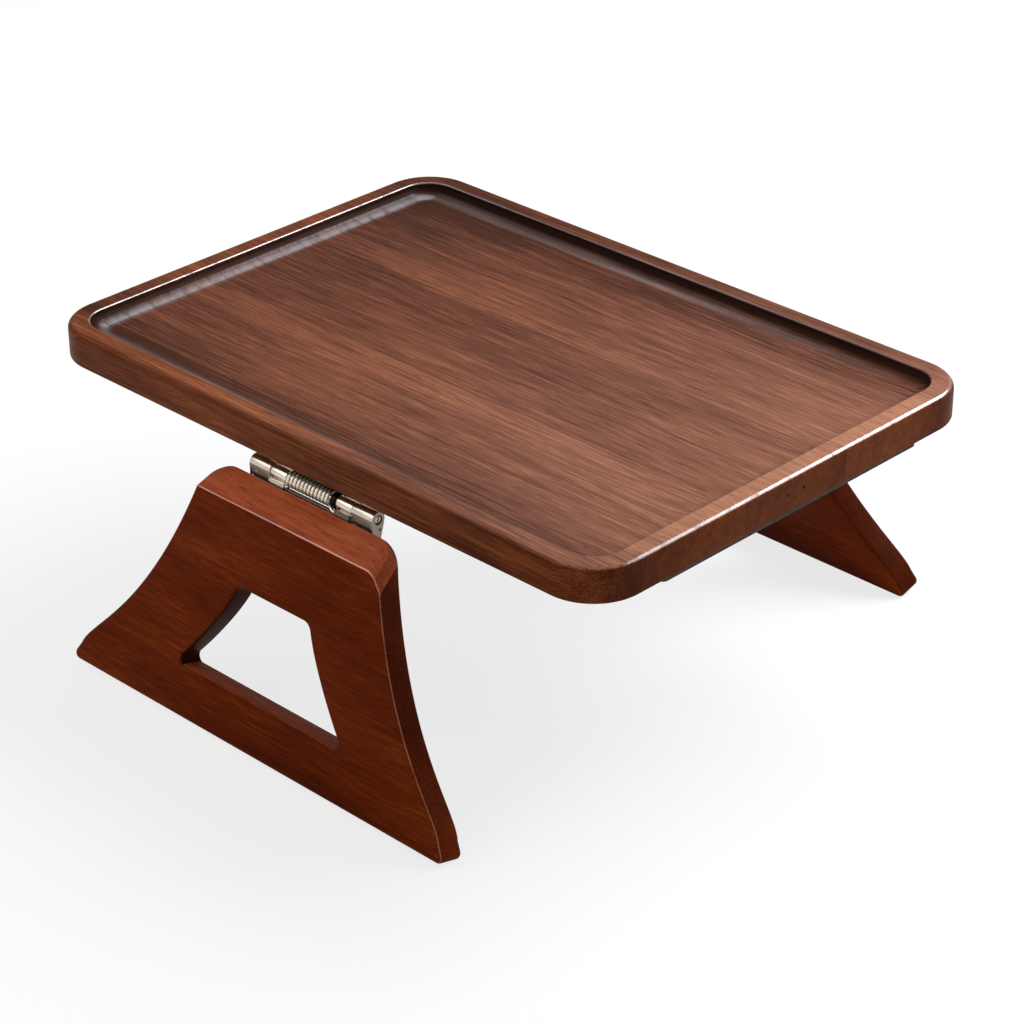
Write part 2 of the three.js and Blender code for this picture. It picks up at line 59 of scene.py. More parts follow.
class Link:
    def __init__(self, tree, socket):
        self.tree = tree
        self.socket = socket

    def node(self, kind, settings, values, output=0):  # any node; values are numbers, vectors or links
        made = self.tree.nodes.new(kind)
        for name, setting in settings.items():
            if name == "stops":
                ramp = made.color_ramp
                while len(ramp.elements) < len(setting):
                    ramp.elements.new(1.0)
                for element, (place, colour) in zip(ramp.elements, setting):
                    element.position = place
                    element.color = (*colour, 1.0)
            else:
                setattr(made, name, setting)
        for name, value in values.items():
            feed(self.tree, made.inputs[name], value)
        return Link(self.tree, made.outputs[output])

    def maths(self, operation, first, second=0.0):
        return self.node("ShaderNodeMath", {"operation": operation}, {0: first, 1: second})

    def __add__(self, other):
        return self.maths("ADD", self, other)

    def __sub__(self, other):
        return self.maths("SUBTRACT", self, other)

    def __rsub__(self, other):
        return self.maths("SUBTRACT", other, self)

    def __mul__(self, other):
        return self.maths("MULTIPLY", self, other)

    def __truediv__(self, other):
        return self.maths("DIVIDE", self, other)

    __radd__ = __add__
    __rmul__ = __mul__

    def sine(self):
        return self.maths("SINE", self)

    def floor(self):
        return self.maths("FLOOR", self)

    def fract(self):
        return self.maths("FRACT", self)

    def size(self):
        return self.maths("ABSOLUTE", self)

    def greater(self, other):
        return self.maths("MAXIMUM", self, other)

    def between(self, low, high):  # 0 at low, 1 at high, smooth in between; falls where low is the larger
        return self.node("ShaderNodeMapRange", {"interpolation_type": "SMOOTHSTEP"},
                         {0: self, 1: low, 2: high, 3: 0.0, 4: 1.0})

    def stretch(self, along, across):  # a place scaled along the fibres and across them
        scale = (along, across, across)
        return self.node("ShaderNodeVectorMath", {"operation": "MULTIPLY"}, {0: self, 1: scale})

    def shift(self, other):  # a vector plus a vector
        return self.node("ShaderNodeVectorMath", {"operation": "ADD"}, {0: self, 1: other})

    def turned(self, angle):  # a place turned about the fibres
        return self.node("ShaderNodeMapping", {}, {"Vector": self, "Rotation": (angle, 0.0, 0.0)})

    def length(self):
        return self.node("ShaderNodeVectorMath", {"operation": "LENGTH"}, {0: self}, 1)

    def part(self, axis):
        return self.node("ShaderNodeSeparateXYZ", {}, {0: self}, axis)

    def noise(self, scale=1.0, detail=2.0, roughness=0.5, distortion=0.0):
        return self.node("ShaderNodeTexNoise", {"noise_dimensions": "3D"}, {
            "Vector": self, "Scale": scale, "Detail": detail, "Roughness": roughness,
            "Distortion": distortion})

    def attribute(self, name):  # a number stored on the mesh
        return self.node("ShaderNodeAttribute", {"attribute_name": name}, {}, "Fac")

    def tone(self, stops):  # a colour for each value
        return self.node("ShaderNodeValToRGB", {"stops": stops}, {0: self})

    def mix(self, first, second):  # this link is the factor between two colours
        return self.node("ShaderNodeMix", {"data_type": "RGBA"}, {0: self, 6: first, 7: second}, 2)


def vector(x, y, z):  # a vector of three links
    return x.node("ShaderNodeCombineXYZ", {}, {0: x, 1: y, 2: z})


def shade(red, green, blue):  # a colour as a picture editor shows it, made linear
    return tuple(c / 12.92 if c <= 0.04045 else ((c + 0.055) / 1.055) ** 2.4
                 for c in (red / 255, green / 255, blue / 255))


def newMaterial(name):
    material = bpy.data.materials.new(name)
    material.use_nodes = True
    tree = material.node_tree
    principled = tree.nodes["Principled BSDF"]
    place = Link(tree, principled.inputs["Base Color"]).node("ShaderNodeTexCoord", {}, {}, "Object")
    return material, principled, place


def finishMaterial(principled, place, colour, roughness, height, look):
    tree = place.tree
    feed(tree, principled.inputs["Base Color"], colour)
    feed(tree, principled.inputs["Roughness"], roughness)
    bump = place.node("ShaderNodeBump", {}, {
        "Strength": look["bumpStrength"], "Distance": look["bumpDepth"], "Height": height})
    feed(tree, principled.inputs["Normal"], bump)


# Wood: long fibres, broad streaks, growth lines and fine dark pores

grain = {  # what both woods share; each scale is per metre, along the fibres and across them
    "turn": 0.5, "fleckScale": (70.0, 1500.0), "ringTilt": 0.35, "growthFrom": 0.55, "poreRun": 0.1,
    "poreFibre": (0.4, 0.62), "sheenRun": 0.2, "level": 0.6, "poreDepth": 0.5, "growthDepth": 0.12,
    "fibreHeight": 0.15, "holeDepth": 0.6, "roughnessSway": 0.12, "polishRange": (0.1, 0.6),
    "coatRoughness": 0.16, "coatIor": 2.6, "specular": 0.02, "bumpDepth": 0.0001, "bumpStrength": 0.55,
    "broad": {"detail": 3.0, "roughness": 0.55}, "fibre": {"detail": 3.0, "roughness": 0.6},
    "streak": {"detail": 4.0, "roughness": 0.6, "distortion": 0.25},
    "fleck": {"detail": 1.0, "roughness": 0.5},
}


def grainOf(place, look):
    place = place.turned(grain["turn"])  # keeps the noise from showing in rows
    broad = place.stretch(*look["broadScale"]).noise(**grain["broad"])
    streak = place.stretch(*look["streakScale"]).noise(**grain["streak"])
    fibre = place.stretch(*look["fibreScale"]).noise(**grain["fibre"])
    fleck = place.stretch(*grain["fleckScale"]).noise(**grain["fleck"])
    across = place.part(1) + place.part(2) * grain["ringTilt"]
    rings = ((across * look["ringsPerMetre"] + broad * look["ringSway"]) * (2 * math.pi)).sine()
    growth = rings.between(grain["growthFrom"], 1.0)
    pores = fleck.between(look["poreFrom"], look["poreFrom"] + grain["poreRun"])
    pores = pores * fibre.between(*grain["poreFibre"])
    return broad, streak, fibre, growth, pores


def woodMaterial(name, look, tilt=0.0, board=None):  # tilt follows a splayed leg; board adds staves and holes
    material, principled, place = newMaterial(name)
    if tilt:
        place = place.turned(tilt)
    moved = place
    if board:
        lane = (place.part(1) - board["firstSeam"]) / board["staveWidth"]
        chance = place.node("ShaderNodeTexWhiteNoise", {"noise_dimensions": "1D"}, {"W": lane.floor()})
        seam = (lane.fract() - 0.5).size().between(0.5 - board["seamWidth"] / board["staveWidth"], 0.5)
        moved = place.shift(vector(*[chance * jump for jump in board["staveJumps"]]))
    broad, streak, fibre, growth, pores = grainOf(moved, look)
    if board:  # its ends show no long fibres
        alongGrain = place.part(0).size().between(*board["endRange"])
        alongGrain = alongGrain * (1 - board["endGrain"]) + board["endGrain"]
        fibre = (fibre - 0.5) * alongGrain + 0.5
        pores = pores * alongGrain
    depth = (broad - 0.5) * look["broadShare"] + (streak - 0.5) * look["streakShare"]
    depth = depth + (fibre - 0.5) * look["fibreShare"] + look["depth"]
    if board:
        depth = depth + (chance - 0.5) * board["toneShare"]
    for axis, low, high, share in look["lightDrifts"]:  # painted light and shade: the colour runs lighter or darker along an axis
        depth = depth + place.part(axis).between(low, high) * share
    # painted light: the sides and rim made lighter by the mesh's lift share
    depth = depth + place.attribute("lift")
    # painted sheen: lighter and greyer towards +x and on the tray's top; painted light on the legs' slope,
    # crease and ledge
    sheenAlongX = place.part(0).between(look["sheenFrom"], look["sheenFrom"] + grain["sheenRun"])
    paintedLit = place.attribute("faded") * (sheenAlongX * look["sheenShare"] + look["litShare"])
    colour = paintedLit.mix(depth.tone(look["tones"]), depth.tone(look["litTones"]))
    colour = (growth * look["growthShare"]).mix(colour, look["growthTone"])
    colour = (pores * look["poreShare"]).mix(colour, look["poreTone"])
    # painted shade in the cove, on the sides and on the legs' flanks, with real dark stain on the tray's end
    # grain
    colour = (place.attribute("pooled") * look["shadeAndStainShare"]).mix(colour, look["shadeAndStainTone"])
    height = grain["level"] - pores * grain["poreDepth"] - growth * grain["growthDepth"]
    height = height + fibre * grain["fibreHeight"]
    if board:
        colour = (seam * board["seamShare"]).mix(colour, look["poreTone"])
        for spot in board["holes"]:  # small nail holes in the end of the board, each a dark spot and a dip; the dark is painted shade inside the hole
            away = place.shift((-spot.x, -spot.y, -spot.z)).length()
            hole = away.between(*board["holeEdge"])
            colour = hole.mix(colour, board["holeTone"])
            height = height - hole * grain["holeDepth"]
    roughness = look["roughness"] + (streak - 0.5) * grain["roughnessSway"] + pores * grain["roughnessSway"]
    finishMaterial(principled, place, colour, roughness, height, grain)
    polish = place.attribute("polish") * look["edgeCoat"] * streak.between(*grain["polishRange"])
    feed(place.tree, principled.inputs["Coat Weight"], polish)
    principled.inputs["Coat Roughness"].default_value = grain["coatRoughness"]
    principled.inputs["Coat IOR"].default_value = grain["coatIor"]
    principled.inputs["Specular IOR Level"].default_value = grain["specular"]
    return material


trayLook = {
    "broadScale": (5.0, 30.0), "streakScale": (12.0, 240.0), "fibreScale": (30.0, 1150.0),
    "ringsPerMetre": 110.0, "ringSway": 6.0, "poreFrom": 0.55, "roughness": 0.38, "edgeCoat": 1.0,
    "depth": 0.38, "broadShare": 0.45, "streakShare": 0.45, "fibreShare": 1.15, "growthShare": 0.14,
    "poreShare": 0.5, "shadeAndStainShare": 0.85, "litShare": 0.30, "sheenFrom": -0.08, "sheenShare": 0.28,
    "tones": [(0.1, shade(48, 20, 8)), (0.38, shade(86, 38, 15)), (0.58, shade(112, 54, 24)),
              (0.9, shade(152, 82, 42))],
    # the lighter, greyer tones of the painted sheen
    "litTones": [(0.1, shade(84, 50, 38)), (0.5, shade(140, 96, 78)), (0.9, shade(178, 132, 108))],
    "growthTone": shade(58, 27, 13), "poreTone": shade(38, 17, 8), "shadeAndStainTone": shade(34, 15, 8),
    # painted light and shade: lighter towards +x, darker towards the front and the back
    "lightDrifts": [(0, -0.15, -0.04, 0.165), (0, 0.09, 0.15, 0.07), (1, -0.04, 0.11, -0.23),
               (1, -0.04, -0.12, -0.29), (1, 0.073, 0.1, -0.2)],
}
legLook = {
    "broadScale": (7.0, 24.0), "streakScale": (9.0, 120.0), "fibreScale": (60.0, 1000.0),
    "ringsPerMetre": 60.0, "ringSway": 3.0, "poreFrom": 0.58, "roughness": 0.4, "edgeCoat": 0.5,
    "depth": 0.5, "broadShare": 1.1, "streakShare": 0.5, "fibreShare": 1.0, "growthShare": 0.08,
    "poreShare": 0.6, "shadeAndStainShare": 0.8, "litShare": 1.0, "sheenFrom": 0.0, "sheenShare": 0.0,
    "tones": [(0.1, shade(70, 22, 3)), (0.42, shade(98, 33, 5)), (0.62, shade(114, 43, 9)),
              (0.88, shade(140, 61, 17))],
    # the tones of the painted light on the slope, crease and ledge
    "litTones": [(0.1, shade(120, 44, 20)), (0.5, shade(196, 94, 58)), (0.9, shade(226, 124, 84))],
    "growthTone": shade(66, 22, 5), "poreTone": shade(50, 15, 4), "shadeAndStainTone": shade(26, 9, 4),
    # painted light: a little lighter higher up
    "lightDrifts": [(2, 0.02, 0.1, 0.06)],
}


# Metals and rubber

metal = {  # what all metals share
    "brushed": {"detail": 3.0, "roughness": 0.6}, "cloud": {"scale": 90.0, "detail": 3.0, "roughness": 0.5},
    # the painted shade on metal: the dark upper side of a coil, and where the darkest shade turns matt
    "stainRange": (0.3, 0.75), "shadeRun": 0.0014, "shadeShare": 0.95, "deepShadeRange": (0.75, 0.95),
    "brushedRoughness": 0.12, "cloudRoughness": 0.1, "shadeRoughness": 0.2, "deepShadeRoughness": 0.45,
    "specular": 0.1, "bumpDepth": 0.00001, "bumpStrength": 0.2,
}


def metalMaterial(name, look, shadeFrom=None):
    material, principled, place = newMaterial(name)
    brushed = place.stretch(*look["scale"]).noise(**metal["brushed"])
    cloud = place.noise(**metal["cloud"])
    # painted shade: faces that lie in the shade, at the ends and in hollows, turn dark
    dull = place.attribute("dull")
    if shadeFrom is not None:  # painted shade and painted reflection: the upper side of a coil is dark, as under the tray's dark underside
        dull = dull.greater(place.part(2).between(shadeFrom, shadeFrom + metal["shadeRun"]) * metal["shadeShare"])
    colour = cloud.between(*metal["stainRange"]).mix(look["tone"], look["stain"])
    colour = dull.mix(colour, look["shadeTone"])
    deepShade = dull.between(*metal["deepShadeRange"])  # where the painted shade is darkest the metal is matt and no mirror
    roughness = look["roughness"] + (brushed - 0.5) * metal["brushedRoughness"]
    roughness = roughness + (cloud - 0.5) * metal["cloudRoughness"]
    roughness = roughness + dull * metal["shadeRoughness"] + deepShade * metal["deepShadeRoughness"]
    finishMaterial(principled, place, colour, roughness, brushed, metal)
    feed(place.tree, principled.inputs["Metallic"], 1.0 - deepShade)
    principled.inputs["Specular IOR Level"].default_value = metal["specular"]
    return material


# each metal's shade tone is the colour its painted shade turns to
nickelLook = {"scale": (30.0, 900.0), "tone": shade(226, 216, 202), "stain": shade(202, 188, 172),
              "shadeTone": shade(84, 74, 64), "roughness": 0.22}
brightLook = {"scale": (500.0, 500.0), "tone": shade(228, 220, 208), "stain": shade(204, 192, 178),
              "shadeTone": shade(60, 52, 46), "roughness": 0.2}
coilLook = {"scale": (400.0, 400.0), "tone": shade(244, 236, 222), "stain": shade(228, 216, 200),
            "shadeTone": shade(34, 27, 22), "roughness": 0.36, "shadeAboveAxis": 0.0026}
darkLook = {"scale": (400.0, 400.0), "tone": shade(34, 29, 26), "stain": shade(22, 19, 17),
            "shadeTone": shade(20, 17, 15), "roughness": 0.4}
rubberLook = {
    "ribPitch": 0.0025, "ribHeight": 0.5, "dust": {"scale": 420.0, "detail": 4.0, "roughness": 0.6},
    "dustRange": (0.35, 0.75), "dustHeight": 0.2, "tone": shade(34, 30, 27), "dustTone": shade(58, 52, 47),
    "roughness": 0.78, "dustRoughness": 0.2, "bumpDepth": 0.0003, "bumpStrength": 0.8,
}


def rubberMaterial(name, look):
    material, principled, place = newMaterial(name)
    ribs = (place.part(0) * (2 * math.pi / look["ribPitch"])).sine()
    dust = place.noise(**look["dust"])
    colour = dust.between(*look["dustRange"]).mix(look["tone"], look["dustTone"])
    roughness = look["roughness"] + (dust - 0.5) * look["dustRoughness"]
    height = ribs * look["ribHeight"] + dust * look["dustHeight"]
    finishMaterial(principled, place, colour, roughness, height, look)
    return material


print("shader helpers ready")


# Mesh helpers

smoothing = {"metal": 32.0, "tray": 40.0, "leg": 34.0, "spring": 60.0, "screw": 30.0}  # degrees


def addObject(name, content):
    made = bpy.data.objects.new(name, content)
    bpy.context.scene.collection.objects.link(made)
    return made


def fromWork(work, name):
    bmesh.ops.recalc_face_normals(work, faces=work.faces)
    mesh = bpy.data.meshes.new(name)
    work.to_mesh(mesh)
    work.free()
    return mesh


def asObject(work):
    return addObject("part", fromWork(work, "part"))


def evaluated(piece):  # its mesh with the modifiers applied
    bpy.context.view_layer.update()
    return bpy.data.meshes.new_from_object(piece.evaluated_get(bpy.context.evaluated_depsgraph_get()))


def carve(piece, cutters):  # takes each cutter out of the piece
    for cutter in cutters:
        change = piece.modifiers.new("cut", "BOOLEAN")
        change.operation, change.solver, change.object = "DIFFERENCE", "EXACT", cutter
    mesh = evaluated(piece)
    for old in [piece, *cutters]:
        bpy.data.objects.remove(old)
    return addObject("part", mesh)


def newPiece(name, mesh, material, smoothUpTo):
    mesh.shade_smooth()
    mesh.set_sharp_from_angle(angle=math.radians(smoothUpTo))
    mesh.materials.clear()
    mesh.materials.append(material)
    return addObject(name, mesh)


def setShares(mesh, name, domain, values):  # a number on each point or face that a material reads
    mesh.attributes.new(name, "FLOAT", domain).data.foreach_set("value", values)


def roundedPoints(corners, steps):  # corners as (x, y, radius); those with a radius become arcs
    points = []
    for i, (x, y, radius) in enumerate(corners):
        here = Vector((x, y))
        if not radius:
            points.append(here)
            continue
        toBefore = (Vector(corners[i - 1][:2]) - here).normalized()
        toAfter = (Vector(corners[(i + 1) % len(corners)][:2]) - here).normalized()
        half = math.acos(max(-1.0, min(1.0, toBefore.dot(toAfter)))) / 2
        centre = here + (toBefore + toAfter).normalized() * (radius / math.sin(half))
        first = here + toBefore * (radius / math.tan(half)) - centre
        last = here + toAfter * (radius / math.tan(half)) - centre
        turn = math.atan2(first.x * last.y - first.y * last.x, first.dot(last))
        for k in range(steps + 1):
            points.append(centre + Matrix.Rotation(turn * k / steps, 2) @ first)
    return points


def roundedBox(left, bottom, right, top, radius, steps, topRadius=None):
    high = radius if topRadius is None else topRadius
    foot = [(left, bottom, radius), (right, bottom, radius)]
    return roundedPoints([*foot, (right, top, high), (left, top, high)], steps)


def bridge(work, rings):  # faces between neighbouring rings of equal point count
    for low, high in zip(rings, rings[1:]):
        for i in range(len(low)):
            j = (i + 1) % len(low)
            work.faces.new((low[i], low[j], high[j], high[i]))


def meshFromRings(rings):  # closed at both ends by one face
    work = bmesh.new()
    made = [[work.verts.new(point) for point in ring] for ring in rings]
    bridge(work, made)
    work.faces.new(list(reversed(made[0])))
    work.faces.new(made[-1])
    return work


def bow(steps, start, run, steepFirst):  # points of a quarter arc, its corner at start, as (inset, height)
    angles = [math.pi / 2 * k / steps for k in range(steps + 1)]
    turns = [(math.sin(a), math.cos(a)) if steepFirst else (math.cos(a), math.sin(a)) for a in angles]
    return [(start[0] + run[0] * (1 - across), start[1] + run[1] * (1 - up)) for across, up in turns]


# Tray board

tray = {
    "length": 0.350, "width": 0.250, "thickness": 0.017, "cornerRadius": 0.0255, "leastRadius": 0.0005,
    "rimWidth": 0.0105, "recessDepth": 0.006, "coveWidth": 0.010, "coveHeight": 0.0052, "lipRadius": 0.0006,
    "topEdgeRadius": 0.003, "bottomEdgeRadius": 0.0015, "flatMargin": 0.002, "rimMargin": 0.001,
    "lipMargin": 0.0004, "cornerSteps": 26, "bottomSteps": 6, "edgeSteps": 8, "lipSteps": 4, "coveSteps": 18,
}
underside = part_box("tray_board")[0].z

firstEdgeRing = tray["bottomSteps"] + 2  # after the underside's ring and the bottom edge's
edgeRings = (firstEdgeRing, firstEdgeRing + tray["edgeSteps"])
firstLipRing = edgeRings[1] + 3  # after two rings that keep the rim flat
lipRings = (firstLipRing, firstLipRing + tray["lipSteps"])
coveRings = (lipRings[1] + 1, lipRings[1] + 1 + tray["coveSteps"])
litRings = (edgeRings[0] + 3, edgeRings[0] + 6)  # the painted sheen of the top sets in between these
stainAndShadeEnd, sideEnd = edgeRings[0] + 4, edgeRings[0] + 5  # the last rings of end stain and painted side shade, and of the sides


def trayRing(inset, height):
    halfLength, halfWidth = tray["length"] / 2 - inset, tray["width"] / 2 - inset
    radius = max(tray["cornerRadius"] - inset, tray["leastRadius"])
    corners = roundedBox(-halfLength, -halfWidth, halfLength, halfWidth, radius, tray["cornerSteps"])
    return [Vector((p.x, p.y, underside + height)) for p in corners]


def ramp(value, low, high):  # 0 at low, 1 at high, straight in between
    return max(0.0, min(1.0, (value - low) / (high - low)))


def along(i, rings):
    return (i - rings[0]) / (rings[1] - rings[0])


trayTone = {  # ranges run along an axis in metres, or from 0 to 1 over the rings of a form
    "glossEnd": (0.150, 0.172), "glossRise": (0.45, 0.6), "glossFall": (0.85, 0.7), "glossFront": (-0.1, 0.1),
    "glossLeast": 0.25, "glossGain": 0.6, "lipLeft": (-0.158, -0.140), "lipDrop": 0.8,
    "coveRise": (0.42, 0.68), "coveFall": (1.0, 0.8), "coveLeft": (-0.120, -0.150), "coveGloss": 0.45,
    # from here on: where the painted sheen and highlight, the painted light and the painted shade fall
    "litLeft": (-0.09, -0.16), "litFront": (-0.10, -0.12), "litSide": 0.6, "litRight": (-0.05, 0.12),
    "litLeast": 0.35, "liftFront": (-0.100, -0.115), "liftLeast": 0.17, "sideLeft": (-0.05, -0.14),
    "sideLeftLift": 0.26, "sideRight": (0.0, 0.08), "sideRightLift": 0.15, "rimRight": (0.15, 0.06),
    "rimLift": 0.22, "rimLeft": (-0.08, -0.16), "rimLeftLift": 0.18, "liftEnds": (0.155, 0.165),
    "endLift": 0.1, "endRight": (0.0, 0.1), "liftBack": (0.073, 0.1), "backLift": 0.2, "endStain": 0.55,
    "stainEnds": (0.160, 0.172), "sideShadeLong": (0.115, 0.123), "sideShadeRight": (-0.14, -0.06),
    "lowSideShade": 0.45, "highSideShade": 0.08,
    "coveDeep": (0.60, 0.34), "coveShallow": (1.0, 0.6), "shallowCoveShade": 0.25, "coveTop": (-0.1, 0.08),
}


def trayPolish(i, point):  # how glossy the lacquer is: the right edge, the lip, and the foot of the left cove
    tone = trayTone
    if edgeRings[0] <= i <= edgeRings[1]:
        t = along(i, edgeRings)
        gloss = tone["glossLeast"] + tone["glossGain"] * ramp(point.y, *tone["glossFront"])
        onEdge = ramp(t, *tone["glossRise"]) * ramp(t, *tone["glossFall"])
        return ramp(point.x, *tone["glossEnd"]) * onEdge * gloss
    if lipRings[0] <= i <= lipRings[1]:
        return 1.0 - tone["lipDrop"] * ramp(point.x, *tone["lipLeft"])
    if coveRings[0] <= i <= coveRings[1]:
        t = along(i, coveRings)
        onFoot = ramp(t, *tone["coveRise"]) * ramp(t, *tone["coveFall"])
        return onFoot * ramp(point.x, *tone["coveLeft"]) * tone["coveGloss"]
    return 0.0


def trayPaintedLight(i, point):  # painted sheen: the top lighter and greyer, more so towards +x; a painted highlight on the front side's left end
    tone = trayTone
    onSide = onTop = 0.0
    if i < sideEnd:
        onSide = tone["litSide"] * ramp(point.x, *tone["litLeft"]) * ramp(point.y, *tone["litFront"])
    if i > lipRings[1]:
        onTop = 1.0
    elif i > litRings[0]:
        onTop = tone["litLeast"] + (1.0 - tone["litLeast"]) * ramp(point.x, *tone["litRight"])
    return max(ramp(i, *litRings) * onTop, onSide)


def trayPaintedLift(i, point):  # painted light: the front and back sides, the ends and the rim made lighter
    tone = trayTone
    if i > lipRings[0]:
        return 0.0
    onSide = onRim = tone["liftLeast"]
    onSide += tone["sideLeftLift"] * ramp(point.x, *tone["sideLeft"])
    onSide += tone["sideRightLift"] * ramp(point.x, *tone["sideRight"])
    onRim += tone["rimLift"] * ramp(point.x, *tone["rimRight"])
    onRim += tone["rimLeftLift"] * ramp(point.x, *tone["rimLeft"])
    front = onSide + (onRim - onSide) * ramp(i, *edgeRings)
    rest = tone["backLift"] * ramp(point.y, *tone["liftBack"])
    if i > sideEnd:
        ends = tone["endLift"] * (1.0 + ramp(point.x, *tone["endRight"]))
        rest += ramp(abs(point.x), *tone["liftEnds"]) * ends
    return max(rest, ramp(point.y, *tone["liftFront"]) * front)


def trayShadeAndStain(i, point):  # real dark stain on the end grain; painted shade along the long sides and in the cove under the lip
    tone = trayTone
    if i < stainAndShadeEnd:
        # the stain here is painted shade on the long sides, darker below the top edge
        stain = tone["lowSideShade"] if i < edgeRings[0] else tone["highSideShade"]
        onLong = stain * ramp(point.x, *tone["sideShadeRight"]) * ramp(abs(point.y), *tone["sideShadeLong"])
        return max(tone["endStain"] * ramp(abs(point.x), *tone["stainEnds"]), onLong)
    if coveRings[0] <= i <= coveRings[1]:
        t = along(i, coveRings)
        deep = max(ramp(t, *tone["coveDeep"]), tone["shallowCoveShade"] * ramp(t, *tone["coveShallow"]))
        return deep * ramp(t, *tone["coveTop"])
    return 0.0


def trayProfile():  # (inset, height) of each ring, from the underside over the rim down to the sunk floor
    rim, top, floor = tray["rimWidth"], tray["thickness"], tray["thickness"] - tray["recessDepth"]
    low, edge, lip = tray["bottomEdgeRadius"], tray["topEdgeRadius"], tray["lipRadius"]
    return [
        (low + tray["flatMargin"], 0.0),
        *bow(tray["bottomSteps"], (0.0, 0.0), (low, low), True),
        *bow(tray["edgeSteps"], (0.0, top), (edge, -edge), False),
        (edge + tray["rimMargin"], top),
        (rim - lip - tray["lipMargin"], top),
        *bow(tray["lipSteps"], (rim, top), (-lip, -lip), True),
        *bow(tray["coveSteps"], (rim, floor), (tray["coveWidth"], tray["coveHeight"]), False),
        (rim + tray["coveWidth"] + tray["flatMargin"], floor),
    ]


def makeTray(material):
    rings = [trayRing(inset, height) for inset, height in trayProfile()]
    mesh = fromWork(meshFromRings(rings), "trayBoard")
    shares = {"polish": trayPolish, "faded": trayPaintedLight, "lift": trayPaintedLift, "pooled": trayShadeAndStain}
    for name, share in shares.items():
        setShares(mesh, name, "POINT", [share(i, point) for i, ring in enumerate(rings) for point in ring])
    return newPiece("trayBoard", mesh, material, smoothing["tray"])


# Leg boards: one outline with a cut-out, rounded edges and a planed top edge

leg = {
    "thickness": 0.013, "height": 0.1196, "footHalf": 0.1245, "shoulderHalf": 0.056, "footRadius": 0.003,
    "shoulderRadius": 0.0125, "edgeRadius": 0.00178, "topBevelDrop": 0.0112, "topBevelLand": 0.0016,
    "cutoutBottom": 0.0243, "cutoutTop": 0.0726, "cutoutBottomHalf": 0.0555, "cutoutTopHalf": 0.0227,
    "cutoutBottomRadius": 0.003, "cutoutTopRadius": 0.005, "creaseRadius": 0.0004, "creaseSteps": 3,
    "cornerRounding": {-1: 0.0025, 1: 0.0095}, "roundingShares": (0.06, 0.94), "roundingSteps": 14,
    "cutterMargin": 0.004, "cutterRun": (-0.012, 0.021), "roundingReach": 0.013, "weld": 1e-7,
    "flankSteps": 40, "cornerSteps": 12, "edgeSteps": 5, "creaseFrom": math.radians(20),
    "slopeFacing": 0.35, "outFacing": -0.1, "wayFacing": 0.02,
    "flankShares": [(0.924, 0.071), (0.869, 0.173), (0.372, 0.312), (0.056, 0.886)],
    "cutoutShares": [(0.841, 0.124), (0.707, 0.228), (0.241, 0.621), (0.055, 0.925)],
}
legTone = {  # shares of polish, painted light and painted shade
    "glintEdgePolish": 0.7, "glintEdgeLight": 0.3, "ledgeLight": 0.45, "flankShade": {"front": 0.35, "back": 0.8},
    "sideMargin": 0.001, "topMargin": 0.002, "sideFacing": 0.4, "glintEdgeFacing": (-0.8, -0.6), "ledgeFacing": 0.8,
    "flatFacing": 0.5,
}
splay = math.radians(15)
leafThickness, crestBelowAxis, legSeatGap = 0.002, 0.0054, 0.0003
legInner = -leafThickness - legSeatGap
legOuter = legInner - leg["thickness"]
legTop = -crestBelowAxis
legFoot = legTop - leg["height"]
slopeFoot = legTop - leg["topBevelDrop"]
slopeRun = leg["thickness"] - leg["topBevelLand"]
slopeNormal = Vector((0.0, -leg["topBevelDrop"], slopeRun)).normalized()
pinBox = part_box("front_hinge_pin")
axisPlace = Vector((0.0, (pinBox[0].y + pinBox[1].y) / 2, (pinBox[0].z + pinBox[1].z) / 2))


def hingeFrame(side, turned=True):  # from the hinge's own frame, on its pin's axis, to the table's
    matrix = Matrix.Translation(axisPlace)
    if turned:
        matrix = matrix @ Matrix.Rotation(-splay, 4, "X")
    return matrix if side == "front" else Matrix.Rotation(math.pi, 4, "Z") @ matrix


def bezier(knots, t):
    a, b, c, d = (Vector(k) for k in knots)
    s = 1 - t
    return a * s ** 3 + b * (3 * s * s * t) + c * (3 * s * t * t) + d * t ** 3


def bellOutline(low, high, footX, shoulderX, footRound, shoulderRound, shares):
    knots = [(shoulderX + (footX - shoulderX) * out, low + (high - low) * up) for out, up in shares]
    flank = [bezier(knots, k / leg["flankSteps"]) for k in range(leg["flankSteps"] + 1)]
    right = [(footX, low, footRound), *((p.x, p.y, 0.0) for p in flank), (shoulderX, high, shoulderRound)]
    left = [(-x, y, radius) for x, y, radius in reversed(right)]
    return roundedPoints(right + left, leg["cornerSteps"])


def insetOutline(points, inset):  # moves a counter-clockwise outline inwards
    moved = []
    for i, here in enumerate(points):
        before = (here - points[i - 1]).normalized()
        after = (points[(i + 1) % len(points)] - here).normalized()
        inward = Vector((-before.y - after.y, before.x + after.x)).normalized()
        inward = inward / max(0.5, inward.dot(Vector((-before.y, before.x))))
        moved.append(here + inward * inset)
    return moved


def shoulderEdge(sign):  # where the planed slope meets the flank: its low end, its way and the flank's normal
    out, up = leg["flankShares"][-1]
    shoulder, foot = leg["shoulderHalf"], leg["footHalf"]
    knee = Vector((shoulder + (foot - shoulder) * out, legFoot + leg["height"] * up))
    run = Vector((shoulder, legTop)) - knee
    flankNormal = Vector((sign * run.y, 0.0, -run.x)).normalized()
    corner = Vector((sign * (knee.x + (slopeFoot - knee.y) * run.x / run.y), legOuter, slopeFoot))
    way = slopeNormal.cross(flankNormal).normalized()
    return corner, way if way.z > 0 else -way, flankNormal


shoulderWays = {sign: shoulderEdge(sign)[1] for sign in (-1, 1)}


